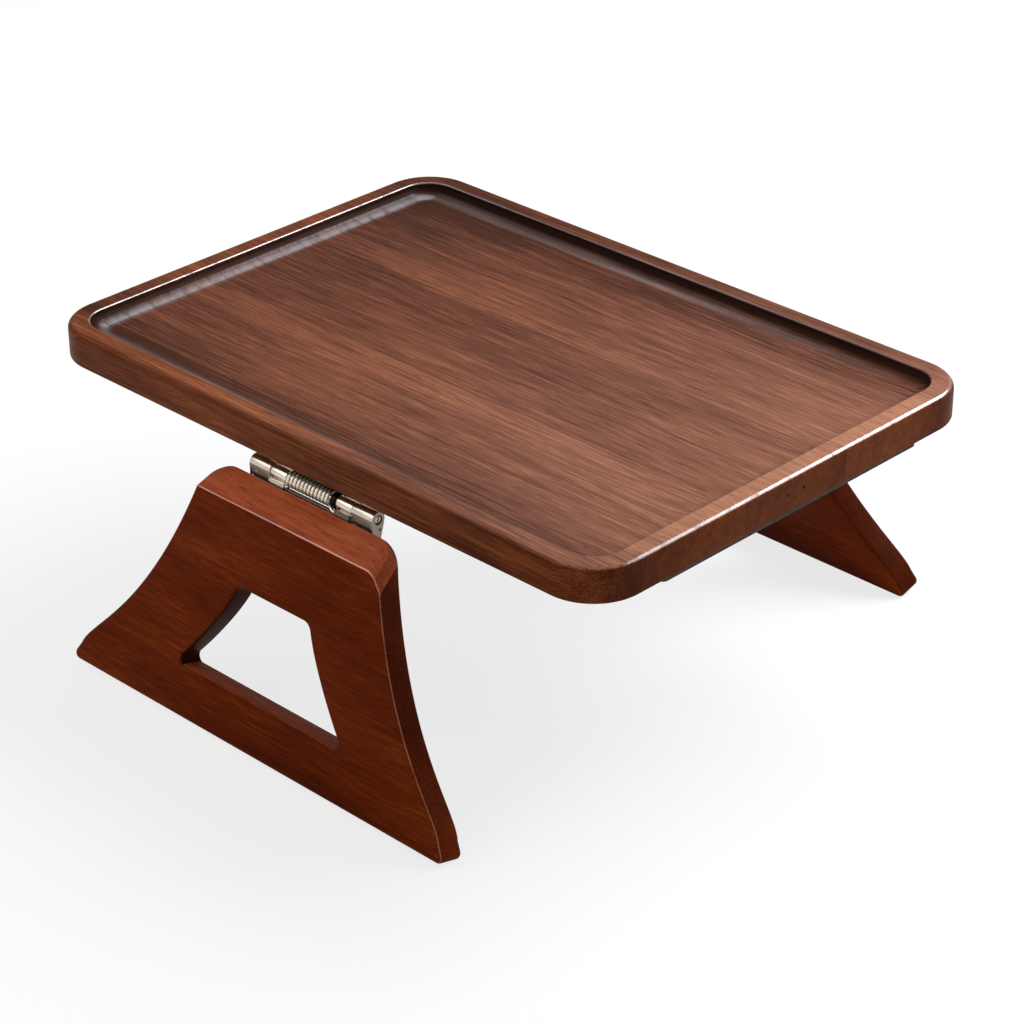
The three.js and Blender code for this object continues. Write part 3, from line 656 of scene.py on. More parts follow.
def shoulderCutter(sign):  # rounds that edge
    corner, way, flankNormal = shoulderEdge(sign)
    radius, margin, steps = leg["cornerRounding"][sign], leg["cutterMargin"], leg["roundingSteps"]
    first, last = leg["roundingShares"]
    axis = -(slopeNormal + flankNormal) * (radius / (1 + slopeNormal.dot(flankNormal)))
    shares = [first + (last - first) * k / steps for k in range(steps + 1)]
    arc = [axis + slopeNormal.slerp(flankNormal, share) * radius for share in shares]
    before, after = (arc[0] - arc[1]).normalized() * margin, (arc[-1] - arc[-2]).normalized() * margin
    section = [*arc, arc[-1] + after, (slopeNormal + flankNormal) * margin, arc[0] + before]
    rings = [[corner + way * run + point for point in section] for run in leg["cutterRun"]]
    return asObject(meshFromRings(rings))


def legBoard():  # the board with its cut-out and its rounded edges, not planed yet
    outer = bellOutline(legFoot, legTop, leg["footHalf"], leg["shoulderHalf"], leg["footRadius"],
                        leg["shoulderRadius"], leg["flankShares"])
    hole = bellOutline(legFoot + leg["cutoutBottom"], legFoot + leg["cutoutTop"], leg["cutoutBottomHalf"],
                       leg["cutoutTopHalf"], leg["cutoutBottomRadius"], leg["cutoutTopRadius"],
                       leg["cutoutShares"])
    radius = leg["edgeRadius"]
    stations = bow(leg["edgeSteps"], (0.0, legOuter), (radius, radius), True)
    stations += bow(leg["edgeSteps"], (0.0, legInner), (radius, -radius), False)
    work = bmesh.new()
    ends = []
    for outline, sign in ((outer, 1), (hole, -1)):
        insets = [(insetOutline(outline, sign * inset), y) for inset, y in stations]
        rings = [[work.verts.new((p.x, y, p.y)) for p in points] for points, y in insets]
        bridge(work, rings)
        ends.append((rings[0], rings[-1]))
    for end in (0, 1):
        verts = ends[0][end] + ends[1][end]
        flat = [[Vector((v.co.x, v.co.z, 0.0)) for v in ends[k][end]] for k in (0, 1)]
        for triangle in tessellate_polygon(flat):
            work.faces.new([verts[i] for i in triangle])
    bmesh.ops.recalc_face_normals(work, faces=work.faces)
    return work


def plane(work):  # takes the slope off the board's outer top edge
    crest = Vector((0.0, legOuter + slopeRun, legTop))
    cut = bmesh.ops.bisect_plane(work, geom=work.verts[:] + work.edges[:] + work.faces[:], plane_co=crest,
                                 plane_no=slopeNormal, clear_outer=True, dist=leg["weld"])
    rim = [e for e in cut["geom_cut"] if isinstance(e, bmesh.types.BMEdge)]
    bmesh.ops.contextual_create(work, geom=rim)
    return carve(asObject(work), [shoulderCutter(sign) for sign in (-1, 1)])


def onSlope(f):  # whether a face belongs to the planed slope or the rounding at its ends
    middle = f.calc_center_median()
    if middle.z < slopeFoot - leg["roundingReach"]:
        return False
    way = shoulderWays[1 if middle.x > 0 else -1]
    facesOut = f.normal.dot(slopeNormal) > leg["slopeFacing"] and f.normal.y < leg["outFacing"]
    return facesOut and abs(f.normal.dot(way)) < leg["wayFacing"]


def legTones(f, creaseGlint, side):  # one face's polish, painted light and painted shade
    middle, normal = f.calc_center_median(), f.normal
    up = middle.z - legFoot - leg["cutoutBottom"]
    beside = abs(middle.x) < leg["cutoutBottomHalf"] + legTone["sideMargin"]
    holeTop = leg["cutoutTop"] - leg["cutoutBottom"] + legTone["topMargin"]
    inHole = beside and -legTone["sideMargin"] < up < holeTop
    low, high = legTone["glintEdgeFacing"]  # the right flank's outer edge, where a painted highlight goes
    glintEdge = not inHole and normal.x > legTone["sideFacing"] and low < normal.y < high
    # painted highlight on the eased crease and on the right flank's outer edge; painted light on the planed
    # slope and on the cut-out's ledge
    polish = 1.0 if creaseGlint else legTone["glintEdgePolish"] if glintEdge else 0.0
    faded = 1.0 if creaseGlint or onSlope(f) else legTone["glintEdgeLight"] if glintEdge else 0.0
    if inHole and normal.z > legTone["ledgeFacing"]:
        faded = max(faded, legTone["ledgeLight"])
    # painted shade: the flanks are darker, the back leg's more so, and the cut-out's sides darkest
    if abs(normal.y) > legTone["flatFacing"] or abs(normal.x) < legTone["sideFacing"]:
        return polish, faded, 0.0
    return polish, faded, 1.0 if inHole else legTone["flankShade"][side]


def makeLeg(name, side, material):
    blank = plane(legBoard())
    work = bmesh.new()
    work.from_mesh(blank.data)
    bpy.data.objects.remove(blank)
    easedMark = work.faces.layers.int.new("eased")
    work.normal_update()
    slope = {f for f in work.faces if onSlope(f)}
    crease = [e for e in work.edges
              if e.calc_face_angle(0.0) > leg["creaseFrom"] and sum(f in slope for f in e.link_faces) == 1]
    eased = bmesh.ops.bevel(work, geom=crease, offset=leg["creaseRadius"], segments=leg["creaseSteps"],
                            profile=0.5, affect="EDGES", clamp_overlap=False)
    for f in eased["faces"]:
        f[easedMark] = 1
    bmesh.ops.remove_doubles(work, verts=work.verts[:], dist=leg["weld"])  # the bevel leaves some doubled
    work.normal_update()
    tones = [legTones(f, f[easedMark] == 1, side) for f in work.faces]
    work.transform(hingeFrame(side))
    mesh = bpy.data.meshes.new(name)
    work.to_mesh(mesh)
    work.free()
    mesh.attributes.remove(mesh.attributes["eased"])
    for label, values in zip(("polish", "faded", "pooled"), zip(*tones)):
        setShares(mesh, label, "FACE", values)
    return newPiece(name, mesh, material, smoothing["leg"])


# Hinge leaves, pin and collar; x runs along the pin, y away from the leg's outer face and z up the leg

barrel = {
    "length": 0.079, "block": 0.0132, "knuckle": 0.010, "gap": 0.0003, "collar": 0.0029,
    "blockRadius": 0.0039, "knuckleRadius": 0.0035, "pinRadius": 0.0017, "collarRadius": 0.0042,
    "overrun": 0.002,
    "counterbore": {"radius": 0.0024, "depth": 0.0008},
    "lockHole": {"radius": 0.0006, "depth": 0.0025, "inwards": 0.002, "below": 0.0046},
    "dimple": {"radius": 0.0006, "depth": 0.0012, "fromEnd": 0.0042, "share": 0.4},
    "slot": {"width": 0.0008, "reach": 0.005, "depth": 0.0006},
}
leaf = {
    "thickness": leafThickness, "legHeight": 0.034, "legTop": 0.0049, "cornerRadius": 0.003,
    "trayLength": 0.072, "trayDepth": 0.030, "bend": 0.003, "neckRun": 0.003, "axisDrop": 0.0105,
    "blockFrontEnd": 0.0072,
    "blockBottom": 0.013, "blockBackEnd": 0.010, "blockSweep": math.radians(190),
    "padLength": 0.0096, "padBottom": 0.0051, "padTop": 0.0027, "padFront": 0.0039, "padBack": 0.001,
    "padCorner": 0.0009, "dishRim": 0.00035, "dishDepth": 0.0003, "tabBottom": 0.008, "tabTop": 0.0041,
    "tabBottomRadius": 0.0003, "tabTopRadius": 0.0006, "trayScrewsAt": [(0.027, 0.023), (0.010, 0.013)],
    "legScrewsAt": [(0.031, -0.018), (0.011, -0.027)],
}
panel = {"side": 0.0009, "foot": 0.0009, "top": 0.0013, "corner": 0.0014, "depth": 0.00035, "reach": 0.003}
screw = {
    "length": 0.010, "headRadius": 0.0031, "shankRadius": 0.0015, "headDepth": 0.0015, "rim": 0.0003,
    "tip": 0.0024, "tipRadius": 0.0002, "slotWidth": 0.0007, "slotLength": 0.0036, "slotDepth": 0.0009,
    "sides": 40, "mostTurn": 1.5, "seed": 7, "weld": 0.00001,
    "seatGap": 0.0003, "seatTop": 0.0004, "seatFoot": 0.0021, "seatReach": 0.006, "seatSides": 32,
}
rounding = {
    "sheet": 0.00025, "block": 0.0003, "knuckle": 0.0003, "pin": 0.0002, "pad": 0.0002, "collar": 0.0004,
    "hole": 0.0, "steps": 3, "upFrom": math.radians(28),
}
sides = {"bend": 10, "corner": 8, "tab": 4, "block": 36, "knuckle": 56, "clearing": 64, "bore": 40, "pin": 40,
         "collar": 48, "smallHole": 20}
# painted shade: how dark each kind of hinge face is made, and the reaches and facings that find it
metalShading = {
    "plateFront": 0.92, "end": 0.75, "counterbore": 0.9, "panel": 0.7, "pad": 0.85, "tab": 0.92, "dish": 0.35,
    "topEdge": 0.95, "pinEnd": 0.5, "endDepth": 0.0012, "boreDepth": 0.0005, "panelFront": 0.0015,
    "padDepth": 0.0006, "dishReach": 0.0001, "edgeReach": 0.0005, "plateReach": 0.001, "plateFacing": -0.3,
    "endFacing": 0.8, "panelFacing": (-0.5, -0.05), "padFacing": 0.3, "dishFacing": -0.9, "edgeFacing": 0.1,
}
half = barrel["length"] / 2
knuckleStart = -half + barrel["block"] + barrel["gap"]
leftKnuckle = (knuckleStart, knuckleStart + barrel["knuckle"])
rightKnuckle = (-leftKnuckle[1], -leftKnuckle[0])
collarSpan = (rightKnuckle[0] - barrel["gap"] - barrel["collar"], rightKnuckle[0] - barrel["gap"])
springSpan = (leftKnuckle[1] + barrel["gap"], collarSpan[0] - barrel["gap"])
plateTop = leaf["axisDrop"] - barrel["gap"]


def arcPoints(radius, steps, start, sweep):
    angles = [start + sweep * k / steps for k in range(steps + 1)]
    return [Vector((radius * math.cos(a), radius * math.sin(a))) for a in angles]


def circlePoints(radius, steps):
    return arcPoints(radius, steps, 0.0, 2 * math.pi)[:-1]


def prism(points, low, high, axis, soft):  # a section drawn out along an axis, its edges rounded by soft
    place = {"x": lambda p, t: (t, p.x, p.y), "y": lambda p, t: (p.x, t, p.y),
             "z": lambda p, t: (p.x, p.y, t)}[axis]
    work = bmesh.new()
    rings = [[work.verts.new(place(p, t)) for p in points] for t in (low, high)]
    bridge(work, rings)
    work.faces.new(rings[0])
    work.faces.new(rings[1])
    bmesh.ops.recalc_face_normals(work, faces=work.faces)
    if soft:
        sharp = [e for e in work.edges if e.calc_face_angle(0.0) > rounding["upFrom"]]
        bmesh.ops.bevel(work, geom=sharp, offset=soft, segments=rounding["steps"], profile=0.5,
                        affect="EDGES", clamp_overlap=True)
    return work


def rod(radius, low, high, around, soft=0.0):
    return prism(circlePoints(radius, around), low, high, "x", soft)


def moved(work, place):
    bmesh.ops.translate(work, verts=work.verts, vec=place)
    return work


def gather(name, parts, matrix, material, shadeOf=None):  # closed parts become one piece, in its place
    work = bmesh.new()
    for part in parts:
        work.from_mesh(part.data)
        bpy.data.objects.remove(part)
    work.normal_update()
    dull = [shadeOf(f.calc_center_median(), f.normal) if shadeOf else 0.0 for f in work.faces]
    work.transform(matrix)
    mesh = bpy.data.meshes.new(name)
    work.to_mesh(mesh)
    work.free()
    setShares(mesh, "dull", "FACE", dull)
    return newPiece(name, mesh, material, smoothing["metal"])


def seatCutter(spot, turn):  # a countersink for a screw head; spot is the head's middle on the leaf's face
    hole, mouth = screw["shankRadius"] + screw["seatGap"], screw["headRadius"] + screw["seatGap"]
    stations = ((hole, -screw["seatReach"]), (hole, -screw["seatFoot"]), (mouth, -screw["seatTop"]),
                (mouth, barrel["overrun"]))
    rings = [[Vector((p.x, p.y, z)) for p in circlePoints(r, screw["seatSides"])] for r, z in stations]
    work = meshFromRings(rings)
    work.transform(Matrix.Translation(spot) @ Matrix.Rotation(turn, 4, "X"))
    return asObject(work)


def bothWays(spots):  # from left to right
    return [(-x, other) for x, other in spots] + [(x, other) for x, other in reversed(spots)]


trayScrews = [Vector((x, y, plateTop - leaf["thickness"])) for x, y in bothWays(leaf["trayScrewsAt"])]
legScrews = [Vector((x, 0.0, z)) for x, z in bothWays(leaf["legScrewsAt"])]


def trayLeafShade(middle, normal):  # painted shade: the front edge of the plate, which lies in the shade, is made dark
    inPlate = middle.z > leaf["axisDrop"] - leaf["thickness"] - metalShading["plateReach"]
    return metalShading["plateFront"] if normal.y < metalShading["plateFacing"] and inPlate else 0.0


def makeTrayLeaf(name, side, material):
    top, thick, bend, back = plateTop, leaf["thickness"], leaf["bend"], barrel["knuckleRadius"]
    centre = Vector((back - thick / 2 + bend, top - thick / 2 - bend))
    inner = [centre + p for p in arcPoints(bend - thick / 2, sides["bend"], math.pi, -math.pi / 2)]
    outer = [centre + p for p in arcPoints(bend + thick / 2, sides["bend"], math.pi / 2, math.pi / 2)]
    neckEnd = centre.x + leaf["neckRun"]
    neck = [Vector((back - thick, 0.0)), Vector((back, 0.0)), *inner,
            Vector((neckEnd, top - thick)), Vector((neckEnd, top)), *outer]
    reach = leaf["trayLength"] / 2
    outline = roundedBox(-reach, centre.x, reach, leaf["trayDepth"], leaf["cornerRadius"], sides["corner"])
    plate = asObject(prism(outline, top - thick, top, "z", rounding["sheet"]))
    parts = [carve(plate, [seatCutter(spot, math.pi) for spot in trayScrews])]
    for low, high in (leftKnuckle, rightKnuckle):
        parts.append(asObject(prism(neck, low, high, "x", rounding["sheet"])))
        parts.append(asObject(rod(barrel["knuckleRadius"], low, high, sides["knuckle"], rounding["knuckle"])))
    return gather(name, parts, hingeFrame(side, False), material, trayLeafShade)


blockRound = arcPoints(barrel["blockRadius"], sides["block"], 0.0, leaf["blockSweep"])
blockFoot = Vector((-leaf["thickness"], -leaf["blockFrontEnd"]))
blockSlope = blockRound[-1] - blockFoot
blockOutline = [
    Vector((-leaf["thickness"], -leaf["blockBottom"])), Vector((0.0, -leaf["blockBottom"])),
    Vector((barrel["blockRadius"], -leaf["blockBackEnd"])), *blockRound, blockFoot,
]


def panelCutter(low, high):  # the sunk panel on the block's sloping front
    left, right, top = low + panel["side"], high - panel["side"], blockSlope.length - panel["top"]
    outline = roundedBox(left, panel["foot"], right, top, panel["corner"], sides["corner"])
    work = prism(outline, -panel["depth"], panel["reach"], "z", rounding["hole"])
    across = Vector((1.0, 0.0, 0.0))
    up = Vector((0.0, blockSlope.x, blockSlope.y)).normalized()
    basis = Matrix((across, up, across.cross(up))).transposed().to_4x4()
    work.transform(Matrix.Translation((0.0, blockFoot.x, blockFoot.y)) @ basis)
    return asObject(work)


def legLeafShade(middle, normal):  # painted shade: how dark each face is made, at the ends and where it lies in the shade
    fromMiddle = abs(middle.x)
    if fromMiddle > half - metalShading["endDepth"] and abs(normal.x) > metalShading["endFacing"]:
        return metalShading["counterbore"] if fromMiddle < half - metalShading["boreDepth"] else metalShading["end"]
    onFront = -leaf["blockFrontEnd"] < middle.z < 0.0 and middle.y < -metalShading["panelFront"]
    out, down = metalShading["panelFacing"]
    if onFront and fromMiddle > half - barrel["block"] and normal.y < out and normal.z < down:
        return metalShading["panel"]
    onRightPad = collarSpan[1] < middle.x < half - barrel["block"] and middle.z < -leaf["padTop"]
    if onRightPad and normal.y < metalShading["padFacing"]:
        return metalShading["pad"] if middle.y < metalShading["padDepth"] - leaf["padFront"] else metalShading["tab"]
    dish = leaf["dishDepth"] - leaf["padFront"]
    if normal.y < metalShading["dishFacing"] and abs(middle.y - dish) < metalShading["dishReach"]:
        return metalShading["dish"]
    if normal.z > metalShading["edgeFacing"] and abs(middle.z + leaf["legTop"]) < metalShading["edgeReach"]:
        return metalShading["topEdge"]
    return 0.0


def makeBlock(sign):
    low, high = sorted((sign * half, sign * (half - barrel["block"])))
    face, bore, lock, dimple = sign * half, barrel["counterbore"], barrel["lockHole"], barrel["dimple"]
    borePlaces = sorted((face + sign * barrel["overrun"], face - sign * bore["depth"]))
    cutters = [panelCutter(low, high), asObject(rod(bore["radius"], *borePlaces, sides["bore"]))]
    if sign > 0:
        hole = rod(lock["radius"], face - lock["depth"], face + barrel["overrun"], sides["smallHole"])
        moved(hole, (0.0, lock["inwards"], -lock["below"]))
    else:
        place = blockRound[-1].lerp(blockFoot, dimple["share"])
        circle = circlePoints(dimple["radius"], sides["smallHole"])
        hole = prism(circle, -dimple["depth"], dimple["depth"], "y", rounding["hole"])
        moved(hole, (low + dimple["fromEnd"], place.x, place.y))
    cutters.append(asObject(hole))
    return carve(asObject(prism(blockOutline, low, high, "x", rounding["block"])), cutters)


def makePad(left, right):  # an oval pad with a dished face, cleared where the knuckle turns
    outline = roundedBox(left, -leaf["padBottom"], right, -leaf["padTop"], leaf["padCorner"], sides["corner"])
    pad = prism(outline, -leaf["padFront"], -leaf["padBack"], "y", rounding["pad"])
    front = min(pad.faces, key=lambda f: f.calc_center_median().y)
    bmesh.ops.inset_region(pad, faces=[front], thickness=leaf["dishRim"], depth=-leaf["dishDepth"])
    clear = barrel["knuckleRadius"] + barrel["gap"]
    cutter = rod(clear, left - barrel["gap"], right + barrel["gap"], sides["clearing"])
    return carve(asObject(pad), [asObject(cutter)])


def makeTab(left, right):  # joins the pad to the leaf
    outline = roundedBox(left, -leaf["tabBottom"], right, -leaf["tabTop"], leaf["tabBottomRadius"],
                         sides["tab"], leaf["tabTopRadius"])
    return asObject(prism(outline, -leaf["thickness"], 0.0, "y", rounding["pad"]))


def makeLegLeaf(name, side, material):
    outline = roundedBox(-half, -leaf["legHeight"], half, -leaf["legTop"], leaf["cornerRadius"],
                         sides["corner"])
    plate = asObject(prism(outline, -leaf["thickness"], 0.0, "y", rounding["sheet"]))
    parts = [carve(plate, [seatCutter(spot, -math.pi / 2) for spot in legScrews])]
    for sign in (-1, 1):
        centre = sign * (half - barrel["block"] - barrel["gap"] - barrel["knuckle"] / 2)
        left, right = centre - leaf["padLength"] / 2, centre + leaf["padLength"] / 2
        parts += [makeBlock(sign), makePad(left, right), makeTab(left, right)]
    return gather(name, parts, hingeFrame(side), material, legLeafShade)


def pinShade(middle, normal):
    # painted shade on the pin's end faces
    return metalShading["pinEnd"] if abs(normal.x) > metalShading["endFacing"] else 0.0


def makePin(name, side, material):
    end, slot = half - barrel["gap"], barrel["slot"]
    pin = asObject(rod(barrel["pinRadius"], -end, end, sides["pin"], rounding["pin"]))
    wide, reach = slot["width"] / 2, slot["reach"]
    section = [Vector(p) for p in ((-wide, -reach), (wide, -reach), (wide, reach), (-wide, reach))]
    cutter = asObject(prism(section, end - slot["depth"], end + barrel["overrun"], "x", rounding["hole"]))
    return gather(name, [carve(pin, [cutter])], hingeFrame(side), material, pinShade)


def makeCollar(name, side, material):
    ring = rod(barrel["collarRadius"], *collarSpan, sides["collar"], rounding["collar"])
    return gather(name, [asObject(ring)], hingeFrame(side), material)


# Geometry Nodes: the coiled spring, and screws set on points


def newTree(name, inputs):  # inputs as (label, kind)
    tree = bpy.data.node_groups.new(name, "GeometryNodeTree")
    tree.interface.new_socket("Geometry", in_out="INPUT", socket_type="NodeSocketGeometry")
    for label, kind in inputs:
        tree.interface.new_socket(label, in_out="INPUT", socket_type="NodeSocket" + kind)
    tree.interface.new_socket("Geometry", in_out="OUTPUT", socket_type="NodeSocketGeometry")
    return tree, tree.nodes.new("NodeGroupInput").outputs, tree.nodes.new("NodeGroupOutput")


def addNode(tree, kind, settings, values):
    made = tree.nodes.new(kind)
    for name, setting in settings.items():
        setattr(made, name, setting)
    for name, value in values.items():
        if isinstance(value, bpy.types.NodeSocket):
            tree.links.new(value, made.inputs[name])
        else:
            made.inputs[name].default_value = value
    return made


def joined(tree, parts):
    join = tree.nodes.new("GeometryNodeJoinGeometry")
    for part in parts:
        tree.links.new(part, join.inputs[0])
    return join.outputs[0]


def finishTree(tree, geometry, metalSocket, result):
    solid = addNode(tree, "GeometryNodeRealizeInstances", {}, {"Geometry": geometry}).outputs[0]
    values = {"Geometry": solid, "Material": metalSocket}
    coated = addNode(tree, "GeometryNodeSetMaterial", {}, values).outputs[0]
    tree.links.new(coated, result.inputs["Geometry"])
    return tree


def runTree(name, mesh, tree, inputs, matrix, smoothUpTo):
    carrier = addObject(name, mesh)
    change = carrier.modifiers.new("build", "NODES")
    change.node_group = tree
    for item in tree.interface.items_tree:
        if item.in_out == "INPUT" and item.name in inputs:
            change[item.identifier] = inputs[item.name]
    made = evaluated(carrier)
    carrier.modifiers.remove(change)
    bpy.data.objects.remove(carrier)
    made.transform(matrix)
    return newPiece(name, made, made.materials[0], smoothUpTo)


spring = {
    "wire": 0.0014, "outerRadius": 0.0043, "curls": 11.85, "stepsPerCurl": 44, "wireSides": 18,
    "tailRun": 0.0036, "tailForward": 0.0028, "tailBelow": 0.0046, "tailPull": 0.0022, "tailRise": 0.06,
    "tailSteps": 14,
}


def springTree():
    tree, given, result = newTree("springTree", [
        ("Curls", "Float"), ("Radius", "Float"), ("Length", "Float"), ("Wire Radius", "Float"),
        ("Steps", "Int"), ("Sides", "Int"), ("Metal", "Material")])
    spiral = addNode(tree, "GeometryNodeCurveSpiral", {}, {
        "Resolution": given["Steps"], "Rotations": given["Curls"], "Start Radius": given["Radius"],
        "End Radius": given["Radius"], "Height": given["Length"]})
    tails = addNode(tree, "GeometryNodeMeshToCurve", {}, {"Mesh": given["Geometry"]})
    wires = joined(tree, [spiral.outputs["Curve"], tails.outputs["Curve"]])
    section = addNode(tree, "GeometryNodeCurvePrimitiveCircle", {}, {
        "Resolution": given["Sides"], "Radius": given["Wire Radius"]})
    tube = addNode(tree, "GeometryNodeCurveToMesh", {}, {
        "Curve": wires, "Profile Curve": section.outputs["Curve"], "Fill Caps": True})
    return finishTree(tree, tube.outputs["Mesh"], given["Metal"], result)


def makeSpring(name, side, tree, material):
    radius = spring["outerRadius"] - spring["wire"] / 2
    run = springSpan[1] - springSpan[0] - spring["wire"]
    leftEnd = Matrix.Translation((springSpan[0] + spring["wire"] / 2, 0.0, 0.0))
    alongX = leftEnd @ Matrix.Rotation(math.pi / 2, 4, "Y")
    back = alongX.inverted()
    steps, pull = spring["tailSteps"], spring["tailPull"]
    points, edges = [], []
    for share, way, edge in ((0.0, -1, springSpan[0]), (1.0, 1, springSpan[1])):  # both ends of the wire
        angle = 2 * math.pi * spring["curls"] * share
        start = Vector((radius * math.cos(angle), radius * math.sin(angle), run * share))
        onward = Vector((-math.sin(angle), math.cos(angle), spring["tailRise"])).normalized() * way
        end = back @ Vector((edge + way * spring["tailRun"], -spring["tailForward"], -spring["tailBelow"]))
        knots = (start, start + onward * pull, end + Vector((0.0, 0.0, -way)) * pull, end)
        edges += [(len(points) + k, len(points) + k + 1) for k in range(steps)]
        points += [bezier(knots, k / steps) for k in range(steps + 1)]
    seeds = bpy.data.meshes.new("tails")
    seeds.from_pydata(points, edges, [])
    return runTree(name, seeds, tree, {
        "Curls": spring["curls"], "Radius": radius, "Length": run, "Wire Radius": spring["wire"] / 2,
        "Steps": spring["stepsPerCurl"], "Sides": spring["wireSides"], "Metal": material},
        hingeFrame(side) @ alongX, smoothing["spring"])


screwInputs = {  # the tree's names for a screw's sizes
    "Length": "length", "Head Radius": "headRadius", "Shank Radius": "shankRadius", "Head Depth": "headDepth",
    "Rim": "rim", "Tip": "tip", "Tip Radius": "tipRadius", "Slot Width": "slotWidth",
    "Slot Length": "slotLength", "Slot Depth": "slotDepth",
}


def screwTree():
    kinds = [(label, "Float") for label in screwInputs]
    tree, given, result = newTree("screwTree", [*kinds, ("Sides", "Int"), ("Metal", "Material")])

    def maths(operation, first, second):
        return addNode(tree, "ShaderNodeMath", {"operation": operation}, {0: first, 1: second}).outputs[0]

    def vectorOf(values):
        return addNode(tree, "ShaderNodeCombineXYZ", {}, values).outputs[0]

    def place(geometry, z):
        values = {"Geometry": geometry, "Translation": vectorOf({2: z})}
        return addNode(tree, "GeometryNodeTransform", {}, values).outputs[0]

    def cone(top, bottom, depth, z):  # without end faces, so nothing is left inside the screw
        made = addNode(tree, "GeometryNodeMeshCone", {"fill_type": "NONE"}, {
            "Vertices": given["Sides"], "Radius Top": top, "Radius Bottom": bottom, "Depth": depth})
        return place(made.outputs["Mesh"], z)

    def disc(radius):
        made = addNode(tree, "GeometryNodeMeshCircle", {"fill_type": "NGON"}, {
            "Vertices": given["Sides"], "Radius": radius})
        return made.outputs["Mesh"]

    head, shank, tip = given["Head Radius"], given["Shank Radius"], given["Tip Radius"]
    foot = maths("MULTIPLY", given["Length"], -1.0)
    rimStart = maths("MULTIPLY", given["Rim"], -1.0)
    coneStart = maths("SUBTRACT", rimStart, given["Head Depth"])
    shankRun = maths("SUBTRACT", coneStart, maths("ADD", foot, given["Tip"]))
    tipFace = addNode(tree, "GeometryNodeFlipFaces", {}, {0: disc(tip)}).outputs[0]
    body = joined(tree, [
        cone(head, head, given["Rim"], rimStart),
        cone(head, shank, given["Head Depth"], coneStart),
        cone(shank, shank, shankRun, maths("SUBTRACT", coneStart, shankRun)),
        cone(shank, tip, given["Tip"], foot),
        disc(head),
        place(tipFace, foot),
    ])
    welded = {"Geometry": body, "Distance": screw["weld"]}
    shape = addNode(tree, "GeometryNodeMergeByDistance", {}, welded).outputs[0]
    cutDepth = maths("MULTIPLY", given["Slot Depth"], 2.0)
    for long, wide in (("Slot Length", "Slot Width"), ("Slot Width", "Slot Length")):
        size = vectorOf({0: given[long], 1: given[wide], 2: cutDepth})
        slot = addNode(tree, "GeometryNodeMeshCube", {}, {"Size": size}).outputs["Mesh"]
        cut = addNode(tree, "GeometryNodeMeshBoolean", {"operation": "DIFFERENCE", "solver": "EXACT"}, {
            0: shape})
        tree.links.new(slot, cut.inputs[1])
        shape = cut.outputs["Mesh"]
    outward = addNode(tree, "GeometryNodeInputNamedAttribute", {"data_type": "FLOAT_VECTOR"}, {
        "Name": "outward"})
    facing = addNode(tree, "FunctionNodeAlignRotationToVector", {"axis": "Z"}, {"Vector": outward.outputs[0]})
    turn = addNode(tree, "FunctionNodeRandomValue", {"data_type": "FLOAT"}, {
        2: 0.0, 3: screw["mostTurn"], "Seed": screw["seed"]})
    spin = addNode(tree, "FunctionNodeEulerToRotation", {}, {0: vectorOf({2: turn.outputs[1]})})
    rotation = addNode(tree, "FunctionNodeRotateRotation", {"rotation_space": "LOCAL"}, {
        0: facing.outputs[0], 1: spin.outputs[0]})
    points = addNode(tree, "GeometryNodeInstanceOnPoints", {}, {
        "Points": given["Geometry"], "Instance": shape, "Rotation": rotation.outputs[0]})
    return finishTree(tree, points.outputs["Instances"], given["Metal"], result)


def makeScrews(name, matrix, spots, out, tree, material):  # out is the way in which the heads face
    seeds = bpy.data.meshes.new("seeds")
    seeds.from_pydata([matrix @ spot for spot in spots], [], [])
    facing = (matrix.to_3x3() @ Vector(out)).normalized()
    for item in seeds.attributes.new("outward", "FLOAT_VECTOR", "POINT").data:
        item.vector = facing
    sizes = {label: screw[key] for label, key in screwInputs.items()}
    return runTree(name, seeds, tree, {**sizes, "Sides": screw["sides"], "Metal": material},
                   Matrix.Identity(4), smoothing["screw"])


# Materials and pieces

board = {
    "firstSeam": -0.0985, "staveWidth": 0.0655, "seamWidth": 0.0004, "seamShare": 0.55, "toneShare": 0.2,
    "staveJumps": (3.1, 0.37, 0.21), "endRange": (0.1745, 0.1735), "endGrain": 0.3,
    "holes": [Vector((tray["length"] / 2, -0.0064, underside + 0.0093)),
              Vector((tray["length"] / 2, 0.0045, underside + 0.0091))],
    "holeEdge": (0.001, 0.0006), "holeTone": shade(18, 10, 7),
}
trayWood = woodMaterial("trayWood", trayLook, board=board)
legWood = {
    "front": woodMaterial("frontLegWood", legLook, splay),
    "back": woodMaterial("backLegWood", legLook, -splay),
}
nickel = metalMaterial("brushedNickel", nickelLook)
bright = metalMaterial("brightSteel", brightLook)
coilSteel = metalMaterial("springWire", coilLook, axisPlace.z + coilLook["shadeAboveAxis"])
dark = metalMaterial("darkSteel", darkLook)
rubber = rubberMaterial("ribbedRubber", rubberLook)


def settle(piece, body, slot, *nodes):
    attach(piece, body)
    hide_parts(*nodes)


settle(makeTray(trayWood), "tray", "tray_wood", "tray_board")
for node in ("left_grip_strip", "right_grip_strip"):
    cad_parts[node].data.materials.clear()
    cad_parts[node].data.materials.append(rubber)
print("tray made")

